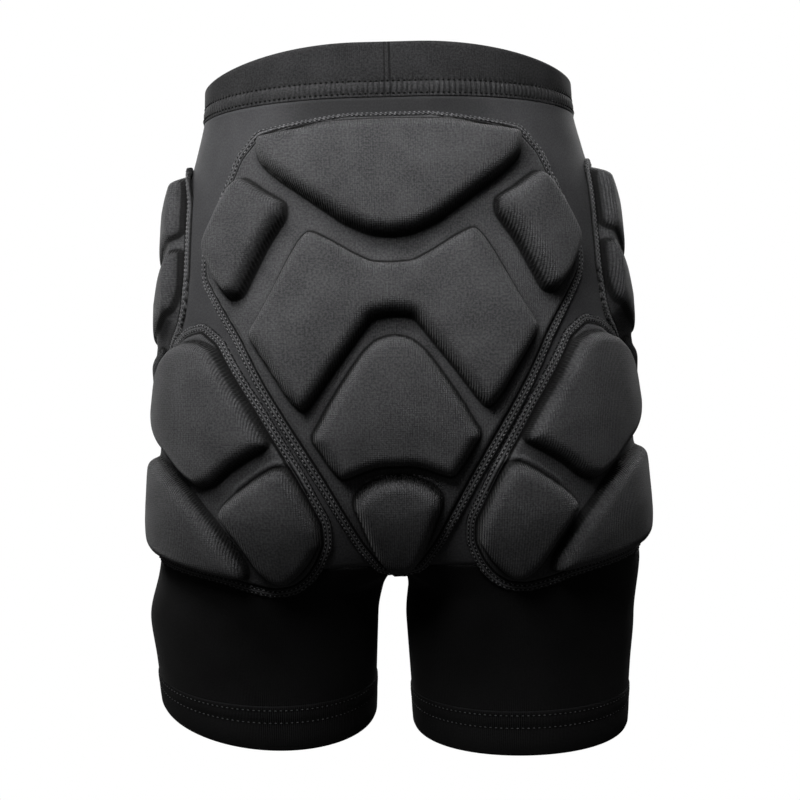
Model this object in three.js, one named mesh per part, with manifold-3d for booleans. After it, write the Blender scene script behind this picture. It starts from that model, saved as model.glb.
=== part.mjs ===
// Padded hip protection shorts in the form they have when worn. Millimetres, +Z up.
// The wearer faces +Y and the wearer's right is +X. The origin is the middle of the waistband.
import * as THREE from 'three';
import Module from 'manifold-3d';

// Driving dimensions of the garment
const CROTCH_DROP = 345; // middle of the waistband down to the crotch seam
const LEG_LENGTH = 103; // crotch seam down to the hem's edge at the side
const BAND_TOP_AT_SIDE = 17; // top edge of the waistband above the origin, at the sides and front
const BACK_RISE = 14; // what the top edge rises further at the centre back
const BAND_FOOT = 8; // lower edge of the waistband below the origin
const HEM_HEIGHT = 24; // turned-up hem of each leg
const HEM_DIP = 22; // what each leg reaches lower at the back than at the side
const CLOTH = 2; // wall of the stretch fabric
const BAND_CLOTH = 3; // wall of the waistband
const HEM_CLOTH = 3; // wall of the turned-up hems
const SEAM_GAP = 0.3; // clearance between two pieces that are sewn together
const LEG_GAP_AT_CROTCH = 17; // space between the two legs
const LEG_GAP_AT_HEM = 29;
const CLEFT_DEPTH = 18; // hollow of the seat at the centre back, just above the crotch
const CLEFT_WIDTH = 44;

// The body form at its four stations: half width, depth behind and before the origin, and half
// width of the flatter middle of the back and the front
const WAIST_HALF_WIDTH = 138;
const WAIST_BACK = 97;
const WAIST_FRONT = 92;
const WAIST_FLAT = 20;
const HIP_HALF_WIDTH = 170;
const HIP_BACK = 128;
const HIP_FRONT = 106;
const HIP_FLAT = 54;
const THIGH_HALF_WIDTH = 183;
const THIGH_BACK = 88;
const THIGH_FRONT = 92;
const THIGH_FLAT = 95;
const HEM_HALF_WIDTH = 173;
const HEM_BACK = 74;
const HEM_FRONT = 85;
const HEM_FLAT = 95;

const STATIONS = [
  { halfWidth: WAIST_HALF_WIDTH, back: WAIST_BACK, front: WAIST_FRONT, flat: WAIST_FLAT },
  { halfWidth: HIP_HALF_WIDTH, back: HIP_BACK, front: HIP_FRONT, flat: HIP_FLAT },
  { halfWidth: THIGH_HALF_WIDTH, back: THIGH_BACK, front: THIGH_FRONT, flat: THIGH_FLAT },
  { halfWidth: HEM_HALF_WIDTH, back: HEM_BACK, front: HEM_FRONT, flat: HEM_FLAT },
];

// Sections of the body form from the waist down. down is a share of the crotch drop, and past 1
// a share of the leg's length. The other columns say how far each measure has come from one
// station (0 waist, 1 hip, 2 thigh, 3 hem) to the next, and cleft is a share of the cleft's depth.
const FORM_ROWS = [
  { down: -0.1, wide: 0.0, back: 0.0, front: 0.0, flat: 0.0, cleft: 0 },
  { down: 0.0, wide: 0.03, back: 0.0, front: 0.0, flat: 0.0, cleft: 0 },
  { down: 0.1, wide: 0.28, back: 0.16, front: 0.21, flat: 0.18, cleft: 0 },
  { down: 0.19, wide: 0.56, back: 0.35, front: 0.43, flat: 0.38, cleft: 0 },
  { down: 0.29, wide: 0.72, back: 0.52, front: 0.64, flat: 0.53, cleft: 0 },
  { down: 0.39, wide: 0.84, back: 0.71, front: 0.86, flat: 0.68, cleft: 0 },
  { down: 0.49, wide: 0.94, back: 0.9, front: 0.95, flat: 0.82, cleft: 0 },
  { down: 0.59, wide: 1.0, back: 1.0, front: 1.0, flat: 1.0, cleft: 0 },
  { down: 0.69, wide: 1.23, back: 1.02, front: 1.05, flat: 1.15, cleft: 0.02 },
  { down: 0.84, wide: 1.54, back: 1.18, front: 1.21, flat: 1.44, cleft: 0.2 },
  { down: 0.94, wide: 1.77, back: 1.5, front: 1.5, flat: 1.68, cleft: 0.6 },
  { down: 1.0, wide: 1.92, back: 1.75, front: 1.71, flat: 1.83, cleft: 1 },
  { down: 1.34, wide: 2.0, back: 2.0, front: 2.0, flat: 2.0, cleft: 1 },
  { down: 1.63, wide: 2.35, back: 2.43, front: 2.3, flat: 2.3, cleft: 1 },
  { down: 2.0, wide: 2.72, back: 2.8, front: 2.7, flat: 2.7, cleft: 1 },
];

// Layers of the pads, from the body outwards
const PANEL_LIFT = 1.3; // underside of a pad's fabric panel above the body
const FLANGE_THICK = 1.6; // stitched edge of a panel
const PANEL_THICK = 3.5; // quilted middle of a panel
const FLANGE_WIDTH = 8;
const LOBE_LIFT = 1.2; // underside of a foam lobe above its panel
const LOBE_EDGE = 2; // height of a lobe's edge where its wall starts
const LOBE_SHOULDER = 4; // how far the wall leans in up to its shoulder
const SHOULDER_SHARE = 0.84; // share of a lobe's height at its shoulder
const PAD_CLEARANCE = 4; // space between the edges of two pads that lie side by side

// Places and sizes of the pads: inner is the distance from the centre back round the body to the
// pad's near edge, and top the distance of its highest point below the origin
const TAIL_PAD = { inner: 0, width: 146, top: 19, height: 325, lobeHeight: 12 };
const THIGH_PAD = { inner: 46, width: 192, top: 161, height: 194, lobeHeight: 10 };
const HIP_PAD = { inner: 165, width: 113, top: 41, height: 213, lobeHeight: 11 };

// Outlines of the pads and of their foam lobes. across is a share of the pad's width from its near
// edge; top and foot are shares of its height below its highest point.
const TAIL_OUTLINES = {
  panel: [
    { across: 0.0, top: 0.0, foot: 1.0 },
    { across: 0.12, top: 0.0, foot: 0.985 },
    { across: 0.21, top: 0.0, foot: 0.93 },
    { across: 0.38, top: 0.01, foot: 0.79 },
    { across: 0.66, top: 0.025, foot: 0.58 },
    { across: 0.77, top: 0.075, foot: 0.49 },
    { across: 0.84, top: 0.14, foot: 0.445 },
    { across: 0.93, top: 0.212, foot: 0.39 },
    { across: 0.985, top: 0.262, foot: 0.357 },
    { across: 1.0, top: 0.29, foot: 0.33 },
  ],
  lobe_top: [
    { across: 0.0, top: 0.022, foot: 0.274 },
    { across: 0.1, top: 0.022, foot: 0.268 },
    { across: 0.22, top: 0.024, foot: 0.243 },
    { across: 0.39, top: 0.028, foot: 0.185 },
    { across: 0.51, top: 0.032, foot: 0.145 },
    { across: 0.59, top: 0.038, foot: 0.114 },
    { across: 0.623, top: 0.05, foot: 0.092 },
  ],
  lobe_middle: [
    { across: 0.0, top: 0.332, foot: 0.44 },
    { across: 0.1, top: 0.329, foot: 0.446 },
    { across: 0.19, top: 0.308, foot: 0.5 },
    { across: 0.29, top: 0.28, foot: 0.557 },
    { across: 0.38, top: 0.258, foot: 0.613 },
    { across: 0.425, top: 0.28, foot: 0.637 },
    { across: 0.48, top: 0.323, foot: 0.61 },
    { across: 0.56, top: 0.394, foot: 0.551 },
    { across: 0.63, top: 0.449, foot: 0.502 },
    { across: 0.66, top: 0.468, foot: 0.483 },
  ],
  lobe_lower: [
    { across: 0.0, top: 0.483, foot: 0.75 },
    { across: 0.08, top: 0.492, foot: 0.75 },
    { across: 0.137, top: 0.514, foot: 0.757 },
    { across: 0.19, top: 0.545, foot: 0.766 },
    { across: 0.26, top: 0.591, foot: 0.777 },
    { across: 0.31, top: 0.625, foot: 0.748 },
    { across: 0.36, top: 0.665, foot: 0.711 },
    { across: 0.39, top: 0.683, foot: 0.692 },
  ],
  lobe_tip: [
    { across: 0.0, top: 0.769, foot: 0.962 },
    { across: 0.055, top: 0.772, foot: 0.958 },
    { across: 0.1, top: 0.778, foot: 0.935 },
    { across: 0.14, top: 0.788, foot: 0.892 },
    { across: 0.18, top: 0.8, foot: 0.85 },
    { across: 0.205, top: 0.812, foot: 0.832 },
  ],
  lobe_side: [
    { across: 0.486, top: 0.197, foot: 0.228 },
    { across: 0.58, top: 0.172, foot: 0.289 },
    { across: 0.65, top: 0.148, foot: 0.348 },
    { across: 0.705, top: 0.134, foot: 0.394 },
    { across: 0.767, top: 0.154, foot: 0.397 },
    { across: 0.836, top: 0.2, foot: 0.363 },
    { across: 0.89, top: 0.243, foot: 0.317 },
    { across: 0.918, top: 0.268, foot: 0.292 },
  ],
};
const THIGH_OUTLINES = {
  panel: [
    { across: 0.0, top: 0.72, foot: 0.81 },
    { across: 0.04, top: 0.64, foot: 0.89 },
    { across: 0.09, top: 0.54, foot: 0.95 },
    { across: 0.15, top: 0.43, foot: 0.99 },
    { across: 0.23, top: 0.3, foot: 1.0 },
    { across: 0.33, top: 0.165, foot: 0.975 },
    { across: 0.4, top: 0.06, foot: 0.95 },
    { across: 0.5, top: 0.0, foot: 0.93 },
    { across: 0.61, top: 0.01, foot: 0.915 },
    { across: 0.74, top: 0.055, foot: 0.9 },
    { across: 0.87, top: 0.15, foot: 0.88 },
    { across: 0.96, top: 0.28, foot: 0.81 },
    { across: 1.0, top: 0.41, foot: 0.7 },
  ],
  lobe_upper: [
    { across: 0.205, top: 0.4, foot: 0.45 },
    { across: 0.26, top: 0.31, foot: 0.478 },
    { across: 0.34, top: 0.2, foot: 0.525 },
    { across: 0.41, top: 0.115, foot: 0.58 },
    { across: 0.475, top: 0.08, foot: 0.596 },
    { across: 0.55, top: 0.07, foot: 0.56 },
    { across: 0.65, top: 0.085, foot: 0.492 },
    { across: 0.74, top: 0.12, foot: 0.455 },
    { across: 0.84, top: 0.18, foot: 0.41 },
    { across: 0.91, top: 0.25, foot: 0.37 },
    { across: 0.94, top: 0.285, foot: 0.34 },
  ],
  lobe_inner: [
    { across: 0.05, top: 0.71, foot: 0.785 },
    { across: 0.09, top: 0.61, foot: 0.85 },
    { across: 0.14, top: 0.525, foot: 0.9 },
    { across: 0.18, top: 0.52, foot: 0.93 },
    { across: 0.23, top: 0.545, foot: 0.925 },
    { across: 0.275, top: 0.575, foot: 0.875 },
    { across: 0.325, top: 0.61, foot: 0.785 },
    { across: 0.375, top: 0.648, foot: 0.715 },
    { across: 0.395, top: 0.672, foot: 0.692 },
  ],
  lobe_outer: [
    { across: 0.31, top: 0.862, foot: 0.908 },
    { across: 0.35, top: 0.797, foot: 0.908 },
    { across: 0.415, top: 0.713, foot: 0.9 },
    { across: 0.53, top: 0.61, foot: 0.893 },
    { across: 0.625, top: 0.552, foot: 0.88 },
    { across: 0.73, top: 0.515, foot: 0.866 },
    { across: 0.83, top: 0.49, foot: 0.835 },
    { across: 0.92, top: 0.495, foot: 0.768 },
    { across: 0.96, top: 0.54, foot: 0.696 },
  ],
};
const HIP_OUTLINES = {
  panel: [
    { across: 0.0, top: 0.055, foot: 0.4 },
    { across: 0.045, top: 0.02, foot: 0.53 },
    { across: 0.12, top: 0.005, foot: 0.59 },
    { across: 0.31, top: 0.0, foot: 0.66 },
    { across: 0.49, top: 0.005, foot: 0.74 },
    { across: 0.65, top: 0.014, foot: 0.85 },
    { across: 0.74, top: 0.033, foot: 0.97 },
    { across: 0.82, top: 0.066, foot: 1.0 },
    { across: 0.91, top: 0.136, foot: 0.98 },
    { across: 0.97, top: 0.25, foot: 0.91 },
    { across: 1.0, top: 0.37, foot: 0.8 },
  ],
  lobe_upper: [
    { across: 0.07, top: 0.075, foot: 0.245 },
    { across: 0.13, top: 0.045, foot: 0.268 },
    { across: 0.31, top: 0.036, foot: 0.31 },
    { across: 0.5, top: 0.036, foot: 0.357 },
    { across: 0.59, top: 0.04, foot: 0.37 },
    { across: 0.7, top: 0.055, foot: 0.342 },
    { across: 0.82, top: 0.1, foot: 0.305 },
    { across: 0.9, top: 0.16, foot: 0.275 },
    { across: 0.92, top: 0.19, foot: 0.262 },
  ],
  lobe_middle: [
    { across: 0.075, top: 0.305, foot: 0.43 },
    { across: 0.14, top: 0.315, foot: 0.51 },
    { across: 0.31, top: 0.361, foot: 0.56 },
    { across: 0.5, top: 0.408, foot: 0.605 },
    { across: 0.59, top: 0.42, foot: 0.624 },
    { across: 0.7, top: 0.4, foot: 0.596 },
    { across: 0.82, top: 0.361, foot: 0.56 },
    { across: 0.91, top: 0.325, foot: 0.515 },
    { across: 0.94, top: 0.335, foot: 0.48 },
  ],
  lobe_lower: [
    { across: 0.42, top: 0.632, foot: 0.664 },
    { across: 0.51, top: 0.655, foot: 0.71 },
    { across: 0.59, top: 0.672, foot: 0.775 },
    { across: 0.7, top: 0.652, foot: 0.9 },
    { across: 0.79, top: 0.624, foot: 0.955 },
    { across: 0.87, top: 0.6, foot: 0.945 },
    { across: 0.93, top: 0.58, foot: 0.88 },
    { across: 0.955, top: 0.6, foot: 0.82 },
  ],
};

// Fineness of the faceted surfaces
const SECTION_STEPS = 8; // steps of a quarter of the body's section
const FLAT_STEPS = 4; // steps of the flat half width of the back or front
const LEG_STEPS = 24;
const LEG_ROWS = 2;
const PANEL_ROW = 26; // tallest row of a panel
const LOBE_ROWS = 5;
const PANEL_COLUMN = 15; // widest column of a panel
const LOBE_COLUMN = 17; // widest column of a lobe
const NORMAL_STEP = 6; // distance over which the surface's direction is measured
const SLOPE_STEP = 3; // distance over which an outline's slope is measured
const STEEPEST = 2.2; // most that an inset grows on a steep edge
const INSET_ROOM = 0.45; // share of a column that an edge's insets may take

const CHARCOAL = { color: 0x3c3c3e, roughness: 0.86, metalness: 0 };
const BLACK = { color: 0x141415, roughness: 0.9, metalness: 0 };
const WAIST_GREY = { color: 0x343436, roughness: 0.88, metalness: 0 };

const wasm = await Module();
wasm.setup();

// Body form

function levelOf(down) {
  if (down <= 1) return -CROTCH_DROP * down;
  return -CROTCH_DROP - LEG_LENGTH * (down - 1);
}

function stationValue(column, place) {
  const first = Math.min(Math.max(Math.floor(place), 0), STATIONS.length - 2);
  const share = place - first;
  return STATIONS[first][column] * (1 - share) + STATIONS[first + 1][column] * share;
}

const FORM = FORM_ROWS.map((row) => ({
  level: levelOf(row.down),
  halfWidth: stationValue('halfWidth', row.wide),
  back: stationValue('back', row.back),
  front: stationValue('front', row.front),
  flat: stationValue('flat', row.flat),
  cleft: CLEFT_DEPTH * row.cleft,
})).reverse();

// Smooth curve through one column of the form, at any level
function formValue(column, level) {
  const last = FORM.length - 1;
  let i = 0;
  while (i < last - 1 && FORM[i + 1].level < level) i += 1;
  const slope = (k) => {
    const before = FORM[Math.max(k - 1, 0)];
    const after = FORM[Math.min(k + 1, last)];
    return (after[column] - before[column]) / (after.level - before.level);
  };
  const span = FORM[i + 1].level - FORM[i].level;
  const t = (level - FORM[i].level) / span;
  const start = (1 + 2 * t) * (1 - t) ** 2 * FORM[i][column] + t * (1 - t) ** 2 * span * slope(i);
  const end = t * t * (3 - 2 * t) * FORM[i + 1][column] + t * t * (t - 1) * span * slope(i + 1);
  return start + end;
}

function sectionAt(level) {
  return {
    halfWidth: formValue('halfWidth', level),
    back: formValue('back', level),
    front: formValue('front', level),
    flat: formValue('flat', level),
    cleft: formValue('cleft', level),
  };
}

// Half of the body's section, from the centre back round the right side to the centre front
function halfSection(level, inset = 0) {
  const { halfWidth, back, front, flat, cleft } = sectionAt(level);
  const points = [];
  const hollow = (x) => cleft * Math.exp(-((x / CLEFT_WIDTH) ** 2));
  for (let i = 0; i < FLAT_STEPS; i += 1) {
    const x = (flat * i) / FLAT_STEPS;
    points.push([x, -(back - inset) + hollow(x)]);
  }
  for (let i = 0; i <= 2 * SECTION_STEPS; i += 1) {
    const angle = (Math.PI / 2) * (i / SECTION_STEPS);
    const depth = i <= SECTION_STEPS ? back : front;
    const x = flat + (halfWidth - inset - flat) * Math.sin(angle);
    const dent = i <= SECTION_STEPS ? hollow(x) : 0;
    points.push([x, -(depth - inset) * Math.cos(angle) + dent]);
  }
  for (let i = FLAT_STEPS - 1; i >= 0; i -= 1) points.push([(flat * i) / FLAT_STEPS, front - inset]);
  return points;
}

function wholeSection(level, inset = 0) {
  const right = halfSection(level, inset);
  const left = right.slice(1, -1).reverse();
  return [...right, ...left.map(([x, y]) => [-x, y])];
}

// Point of the body's surface at a distance round it from the centre back
function bodyPoint(around, level) {
  const points = halfSection(level);
  let left = Math.abs(around);
  let i = 0;
  let length = Math.hypot(points[1][0] - points[0][0], points[1][1] - points[0][1]);
  while (left > length && i < points.length - 2) {
    left -= length;
    i += 1;
    length = Math.hypot(points[i + 1][0] - points[i][0], points[i + 1][1] - points[i][1]);
  }
  const share = left / length;
  const x = points[i][0] + (points[i + 1][0] - points[i][0]) * share;
  const y = points[i][1] + (points[i + 1][1] - points[i][1]) * share;
  return new THREE.Vector3(around < 0 ? -x : x, y, level);
}

function liftedPoint(around, level, lift) {
  const here = bodyPoint(around, level);
  const reach = NORMAL_STEP;
  const acrossStep = bodyPoint(around + reach, level).sub(bodyPoint(around - reach, level));
  const upStep = bodyPoint(around, level + reach).sub(bodyPoint(around, level - reach));
  const outward = acrossStep.cross(upStep).normalize();
  return here.addScaledVector(outward, lift);
}

// Meshes

// The two triangles of a four-cornered facet, parted along its shorter diagonal
function facet(points, a, b, c, d) {
  const straight = points[a].distanceTo(points[c]) <= points[b].distanceTo(points[d]);
  return straight ? [a, b, c, a, c, d] : [b, c, d, b, d, a];
}

function geometryOf(points, triangles) {
  const geometry = new THREE.BufferGeometry();
  const positions = points.flatMap((p) => [p.x, p.y, p.z]);
  geometry.setAttribute('position', new THREE.Float32BufferAttribute(positions, 3));
  geometry.setIndex(triangles);
  return geometry;
}

// Skin between closed rings of equal length; the last ring is joined to the first when looped,
// and otherwise both ends are capped
function ringSkin(rings, looped) {
  const count = rings[0].length;
  const points = rings.flat();
  const triangles = [];
  const bands = looped ? rings.length : rings.length - 1;
  for (let r = 0; r < bands; r += 1) {
    const low = r * count;
    const high = ((r + 1) % rings.length) * count;
    for (let i = 0; i < count; i += 1) {
      const j = (i + 1) % count;
      triangles.push(...facet(points, low + i, low + j, high + j, high + i));
    }
  }
  if (!looped) {
    const flat = (ring) => ring.map((p) => new THREE.Vector2(p.x, p.y));
    const cap = THREE.ShapeUtils.triangulateShape(flat(rings[0]), []);
    const top = (rings.length - 1) * count;
    for (const [a, b, c] of cap) triangles.push(c, b, a);
    for (const [a, b, c] of THREE.ShapeUtils.triangulateShape(flat(rings[rings.length - 1]), [])) {
      triangles.push(top + a, top + b, top + c);
    }
  }
  return geometryOf(points, triangles);
}

function solidOf(geometry) {
  const vertProperties = new Float32Array(geometry.getAttribute('position').array);
  const triVerts = new Uint32Array(geometry.getIndex().array);
  return new wasm.Manifold(new wasm.Mesh({ numProp: 3, vertProperties, triVerts }));
}

function geometryFrom(solid) {
  const mesh = solid.getMesh();
  const geometry = new THREE.BufferGeometry();
  geometry.setAttribute('position', new THREE.Float32BufferAttribute(mesh.vertProperties, 3));
  geometry.setIndex(Array.from(mesh.triVerts));
  return geometry;
}

const group = new THREE.Group();

function addPiece(name, geometry, finish) {
  const mesh = new THREE.Mesh(geometry, new THREE.MeshStandardMaterial(finish));
  mesh.name = name;
  group.add(mesh);
}

// Waistband: a band whose top edge rises towards the centre back

function bandTop(y, back) {
  const behind = Math.max(0, -y) / back;
  return BAND_TOP_AT_SIDE + BACK_RISE * behind ** 2;
}

function bandRing(inset, atTop) {
  const level = atTop ? BAND_TOP_AT_SIDE : -BAND_FOOT;
  const { back } = sectionAt(level);
  return wholeSection(level, inset).map(([x, y]) => {
    const z = atTop ? bandTop(y, back) : -BAND_FOOT;
    return new THREE.Vector3(x, y, z);
  });
}

function makeWaistband() {
  const rings = [
    bandRing(0, false),
    bandRing(0, true),
    bandRing(BAND_CLOTH, true),
    bandRing(BAND_CLOTH, false),
  ];
  addPiece('waistband', ringSkin(rings, true), WAIST_GREY);
}

// Seat: the shorts' body from the waistband to the crotch seam, with two leg holes

const SEAT_TOP = -BAND_FOOT - SEAM_GAP;

function levelRing(level, inset) {
  return wholeSection(level, inset).map(([x, y]) => new THREE.Vector3(x, y, level));
}

function seatLevels(bottom, overshoot) {
  const inside = FORM.map((row) => row.level).filter((z) => z > bottom + CLOTH && z < SEAT_TOP - CLOTH);
  return [bottom, ...inside, SEAT_TOP + overshoot];
}

// Section of one leg: the outer half follows the body, the inner half turns in to the leg gap
function legSection(level, inset) {
  const { halfWidth, back, front, flat } = sectionAt(level);
  const share = Math.min(Math.max((-CROTCH_DROP - level) / LEG_LENGTH, 0), 1);
  const innerEdge = (LEG_GAP_AT_CROTCH * (1 - share) + LEG_GAP_AT_HEM * share) / 2;
  const points = [];
  for (let i = 0; i < LEG_STEPS; i += 1) {
    const angle = (2 * Math.PI * i) / LEG_STEPS;
    const reach = Math.sin(angle) > 0 ? halfWidth - flat : flat - innerEdge;
    const depth = Math.cos(angle) > 0 ? back : front;
    points.push([flat + (reach - inset) * Math.sin(angle), -(depth - inset) * Math.cos(angle)]);
  }
  return points;
}

function mirroredRing(ring) {
  return ring.map((p) => new THREE.Vector3(-p.x, p.y, p.z)).reverse();
}

function legHole(side) {
  const section = legSection(-CROTCH_DROP, CLOTH);
  const rings = [-CROTCH_DROP - CLOTH, -CROTCH_DROP + 2 * CLOTH].map((z) => {
    return section.map(([x, y]) => new THREE.Vector3(x, y, z));
  });
  const skin = ringSkin(side > 0 ? rings : rings.map(mirroredRing), false);
  return solidOf(skin);
}

function makeSeat() {
  const outer = solidOf(ringSkin(seatLevels(-CROTCH_DROP, 0).map((z) => levelRing(z, 0)), false));
  const hollow = solidOf(
    ringSkin(seatLevels(-CROTCH_DROP + CLOTH, CLOTH).map((z) => levelRing(z, CLOTH)), false),
  );
  const seat = outer.subtract(hollow).subtract(legHole(1)).subtract(legHole(-1));
  addPiece('seat', geometryFrom(seat), CHARCOAL);
}

// Legs and hems

function legRing(side, share, inset) {
  const level = -CROTCH_DROP - LEG_LENGTH * share;
  const { back } = sectionAt(level);
  const ring = legSection(level, inset).map(([x, y]) => {
    return new THREE.Vector3(x, y, level + HEM_DIP * share ** 2 * (y / back));
  });
  return side > 0 ? ring : mirroredRing(ring);
}

function legTube(side, from, to, cloth) {
  const steps = LEG_ROWS;
  const shares = Array.from({ length: steps + 1 }, (_, i) => to + ((from - to) * i) / steps);
  const outer = shares.map((share) => legRing(side, share, 0));
  const inner = shares.map((share) => legRing(side, share, cloth)).reverse();
  return ringSkin([...outer, ...inner], true);
}

function makeLeg(side, name) {
  const start = SEAM_GAP / LEG_LENGTH;
  const hemStart = 1 - HEM_HEIGHT / LEG_LENGTH;
  addPiece(`${name}_leg`, legTube(side, start, hemStart, CLOTH), BLACK);
  addPiece(`${name}_hem`, legTube(side, hemStart + start, 1, HEM_CLOTH), BLACK);
}

// Pads: quilts over the body, each a grid of columns between its top and foot edges

function outlineOf(pad, rows) {
  return rows.map(({ across, top, foot }) => ({
    around: pad.inner + pad.width * across,
    top: -pad.top - pad.height * top,
    foot: -pad.top - pad.height * foot,
  }));
}

function mirroredOutline(outline) {
  return outline.map((row) => ({ ...row, around: -row.around })).reverse();
}

function fullOutline(outline) {
  return [...mirroredOutline(outline).slice(0, -1), ...outline];
}

function edgeAt(outline, around, edge) {
  let i = 0;
  while (i < outline.length - 2 && outline[i + 1].around < around) i += 1;
  const share = (around - outline[i].around) / (outline[i + 1].around - outline[i].around);
  return outline[i][edge] * (1 - share) + outline[i + 1][edge] * share;
}

// Positions of the columns: the insets at both ends, and even steps of an outline row or less
function columnsOf(outline, insets, widest) {
  const first = outline[0].around;
  const last = outline[outline.length - 1].around;
  const deepest = insets[insets.length - 1];
  const start = insets.map((inset) => first + inset);
  const end = insets.map((inset) => last - inset).reverse();
  const knots = outline.map((row) => row.around);
  const clear = deepest + widest / 3;
  const inside = knots.filter((a) => a > first + clear && a < last - clear);
  const marks = [first + deepest, ...inside, last - deepest];
  const between = [];
  for (let i = 0; i < marks.length - 1; i += 1) {
    const span = marks[i + 1] - marks[i];
    const steps = Math.max(1, Math.round(span / widest));
    for (let k = 1; k <= steps; k += 1) between.push(marks[i] + (span * k) / steps);
  }
  return [...start, ...between.slice(0, -1), ...end];
}

// Rows of one column: the insets at top and foot, and even steps between them
function rowsOf(top, foot, slopes, insets, count) {
  const height = top - foot;
  const room = (height * INSET_ROOM) / insets[insets.length - 1];
  const scaleTop = Math.min(slopes.top, room);
  const scaleFoot = Math.min(slopes.foot, room);
  const upper = insets.map((inset) => top - inset * scaleTop);
  const lower = insets.map((inset) => foot + inset * scaleFoot).reverse();
  const highest = upper[upper.length - 1];
  const lowest = lower[0];
  const inner = count - 2 * insets.length;
  const middle = Array.from({ length: inner }, (_, k) => {
    return highest + ((lowest - highest) * (k + 1)) / (inner + 1);
  });
  return [...upper, ...middle, ...lower];
}

function slopeFactor(outline, around, edge) {
  const step = SLOPE_STEP;
  const rise = edgeAt(outline, around + step, edge) - edgeAt(outline, around - step, edge);
  return Math.min(Math.hypot(1, rise / (2 * step)), STEEPEST);
}

// A closed quilt: base is the lift of its underside, rings the rise of its top at each inset,
// and full the rise of its middle
function quilt(outline, base, rings, full, rowCount, widest) {
  const insets = rings.map((ring) => ring.inset);
  const columns = columnsOf(outline, insets, widest);
  const wide = columns.length;
  const points = [];
  const sheet = (lifted) => {
    columns.forEach((around, i) => {
      const top = edgeAt(outline, around, 'top');
      const foot = edgeAt(outline, around, 'foot');
      const slopes = {
        top: slopeFactor(outline, around, 'top'),
        foot: slopeFactor(outline, around, 'foot'),
      };
      rowsOf(top, foot, slopes, insets, rowCount).forEach((level, j) => {
        const ring = Math.min(i, wide - 1 - i, j, rowCount - 1 - j);
        const rise = ring < rings.length ? rings[ring].rise : full;
        points.push(liftedPoint(around, level, lifted ? base + rise : base));
      });
    });
  };
  sheet(true);
  sheet(false);
  const under = wide * rowCount;
  const triangles = [];
  for (let i = 0; i < wide - 1; i += 1) {
    for (let j = 0; j < rowCount - 1; j += 1) {
      const a = i * rowCount + j;
      const b = a + rowCount;
      triangles.push(...facet(points, a, a + 1, b + 1, b));
      triangles.push(...facet(points, under + a, under + b, under + b + 1, under + a + 1));
    }
  }
  const rim = [];
  for (let j = 0; j < rowCount - 1; j += 1) rim.push(j);
  for (let i = 0; i < wide - 1; i += 1) rim.push(i * rowCount + rowCount - 1);
  for (let j = rowCount - 1; j > 0; j -= 1) rim.push((wide - 1) * rowCount + j);
  for (let i = wide - 1; i > 0; i -= 1) rim.push(i * rowCount);
  rim.forEach((a, k) => {
    const b = rim[(k + 1) % rim.length];
    triangles.push(...facet(points, a, under + a, under + b, b));
  });
  return geometryOf(points, triangles);
}

const PANEL_RINGS = [
  { inset: 0, rise: FLANGE_THICK },
  { inset: FLANGE_WIDTH, rise: PANEL_THICK },
];
const LOBE_BASE = PANEL_LIFT + PANEL_THICK + LOBE_LIFT;

function makePanel(name, outline, height) {
  const rows = 2 * PANEL_RINGS.length + Math.round(height / PANEL_ROW);
  addPiece(name, quilt(outline, PANEL_LIFT, PANEL_RINGS, PANEL_THICK, rows, PANEL_COLUMN), CHARCOAL);
}

function makeLobe(name, outline, height) {
  const rings = [
    { inset: 0, rise: LOBE_EDGE },
    { inset: LOBE_SHOULDER, rise: height * SHOULDER_SHARE },
  ];
  addPiece(name, quilt(outline, LOBE_BASE, rings, height, LOBE_ROWS, LOBE_COLUMN), CHARCOAL);
}

const SIDES = [
  { name: 'left', turn: mirroredOutline },
  { name: 'right', turn: (outline) => outline },
];

function makeTailPad() {
  makePanel('tail_panel', fullOutline(outlineOf(TAIL_PAD, TAIL_OUTLINES.panel)), TAIL_PAD.height);
  for (const lobe of ['lobe_top', 'lobe_middle', 'lobe_lower', 'lobe_tip']) {
    makeLobe(`tail_${lobe}`, fullOutline(outlineOf(TAIL_PAD, TAIL_OUTLINES[lobe])), TAIL_PAD.lobeHeight);
  }
  for (const { name, turn } of SIDES) {
    makeLobe(`tail_lobe_${name}`, turn(outlineOf(TAIL_PAD, TAIL_OUTLINES.lobe_side)), TAIL_PAD.lobeHeight);
  }
}

// The thigh pad's upper edge stays clear of the tail pad, and the hip pad's foot of the thigh pad
function thighPanelOutline() {
  const tail = outlineOf(TAIL_PAD, TAIL_OUTLINES.panel);
  return outlineOf(THIGH_PAD, THIGH_OUTLINES.panel).map((row) => {
    if (row.around > TAIL_PAD.width) return row;
    const slope = slopeFactor(tail, row.around, 'foot');
    const limit = edgeAt(tail, row.around, 'foot') - PAD_CLEARANCE * slope;
    return { ...row, top: Math.min(row.top, limit) };
  });
}

function hipPanelOutline() {
  const thigh = thighPanelOutline();
  const thighEnd = THIGH_PAD.inner + THIGH_PAD.width;
  return outlineOf(HIP_PAD, HIP_OUTLINES.panel).map((row) => {
    if (row.around > thighEnd) return row;
    const slope = slopeFactor(thigh, row.around, 'top');
    const limit = edgeAt(thigh, row.around, 'top') + PAD_CLEARANCE * slope;
    return { ...row, foot: Math.max(row.foot, limit) };
  });
}

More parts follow.
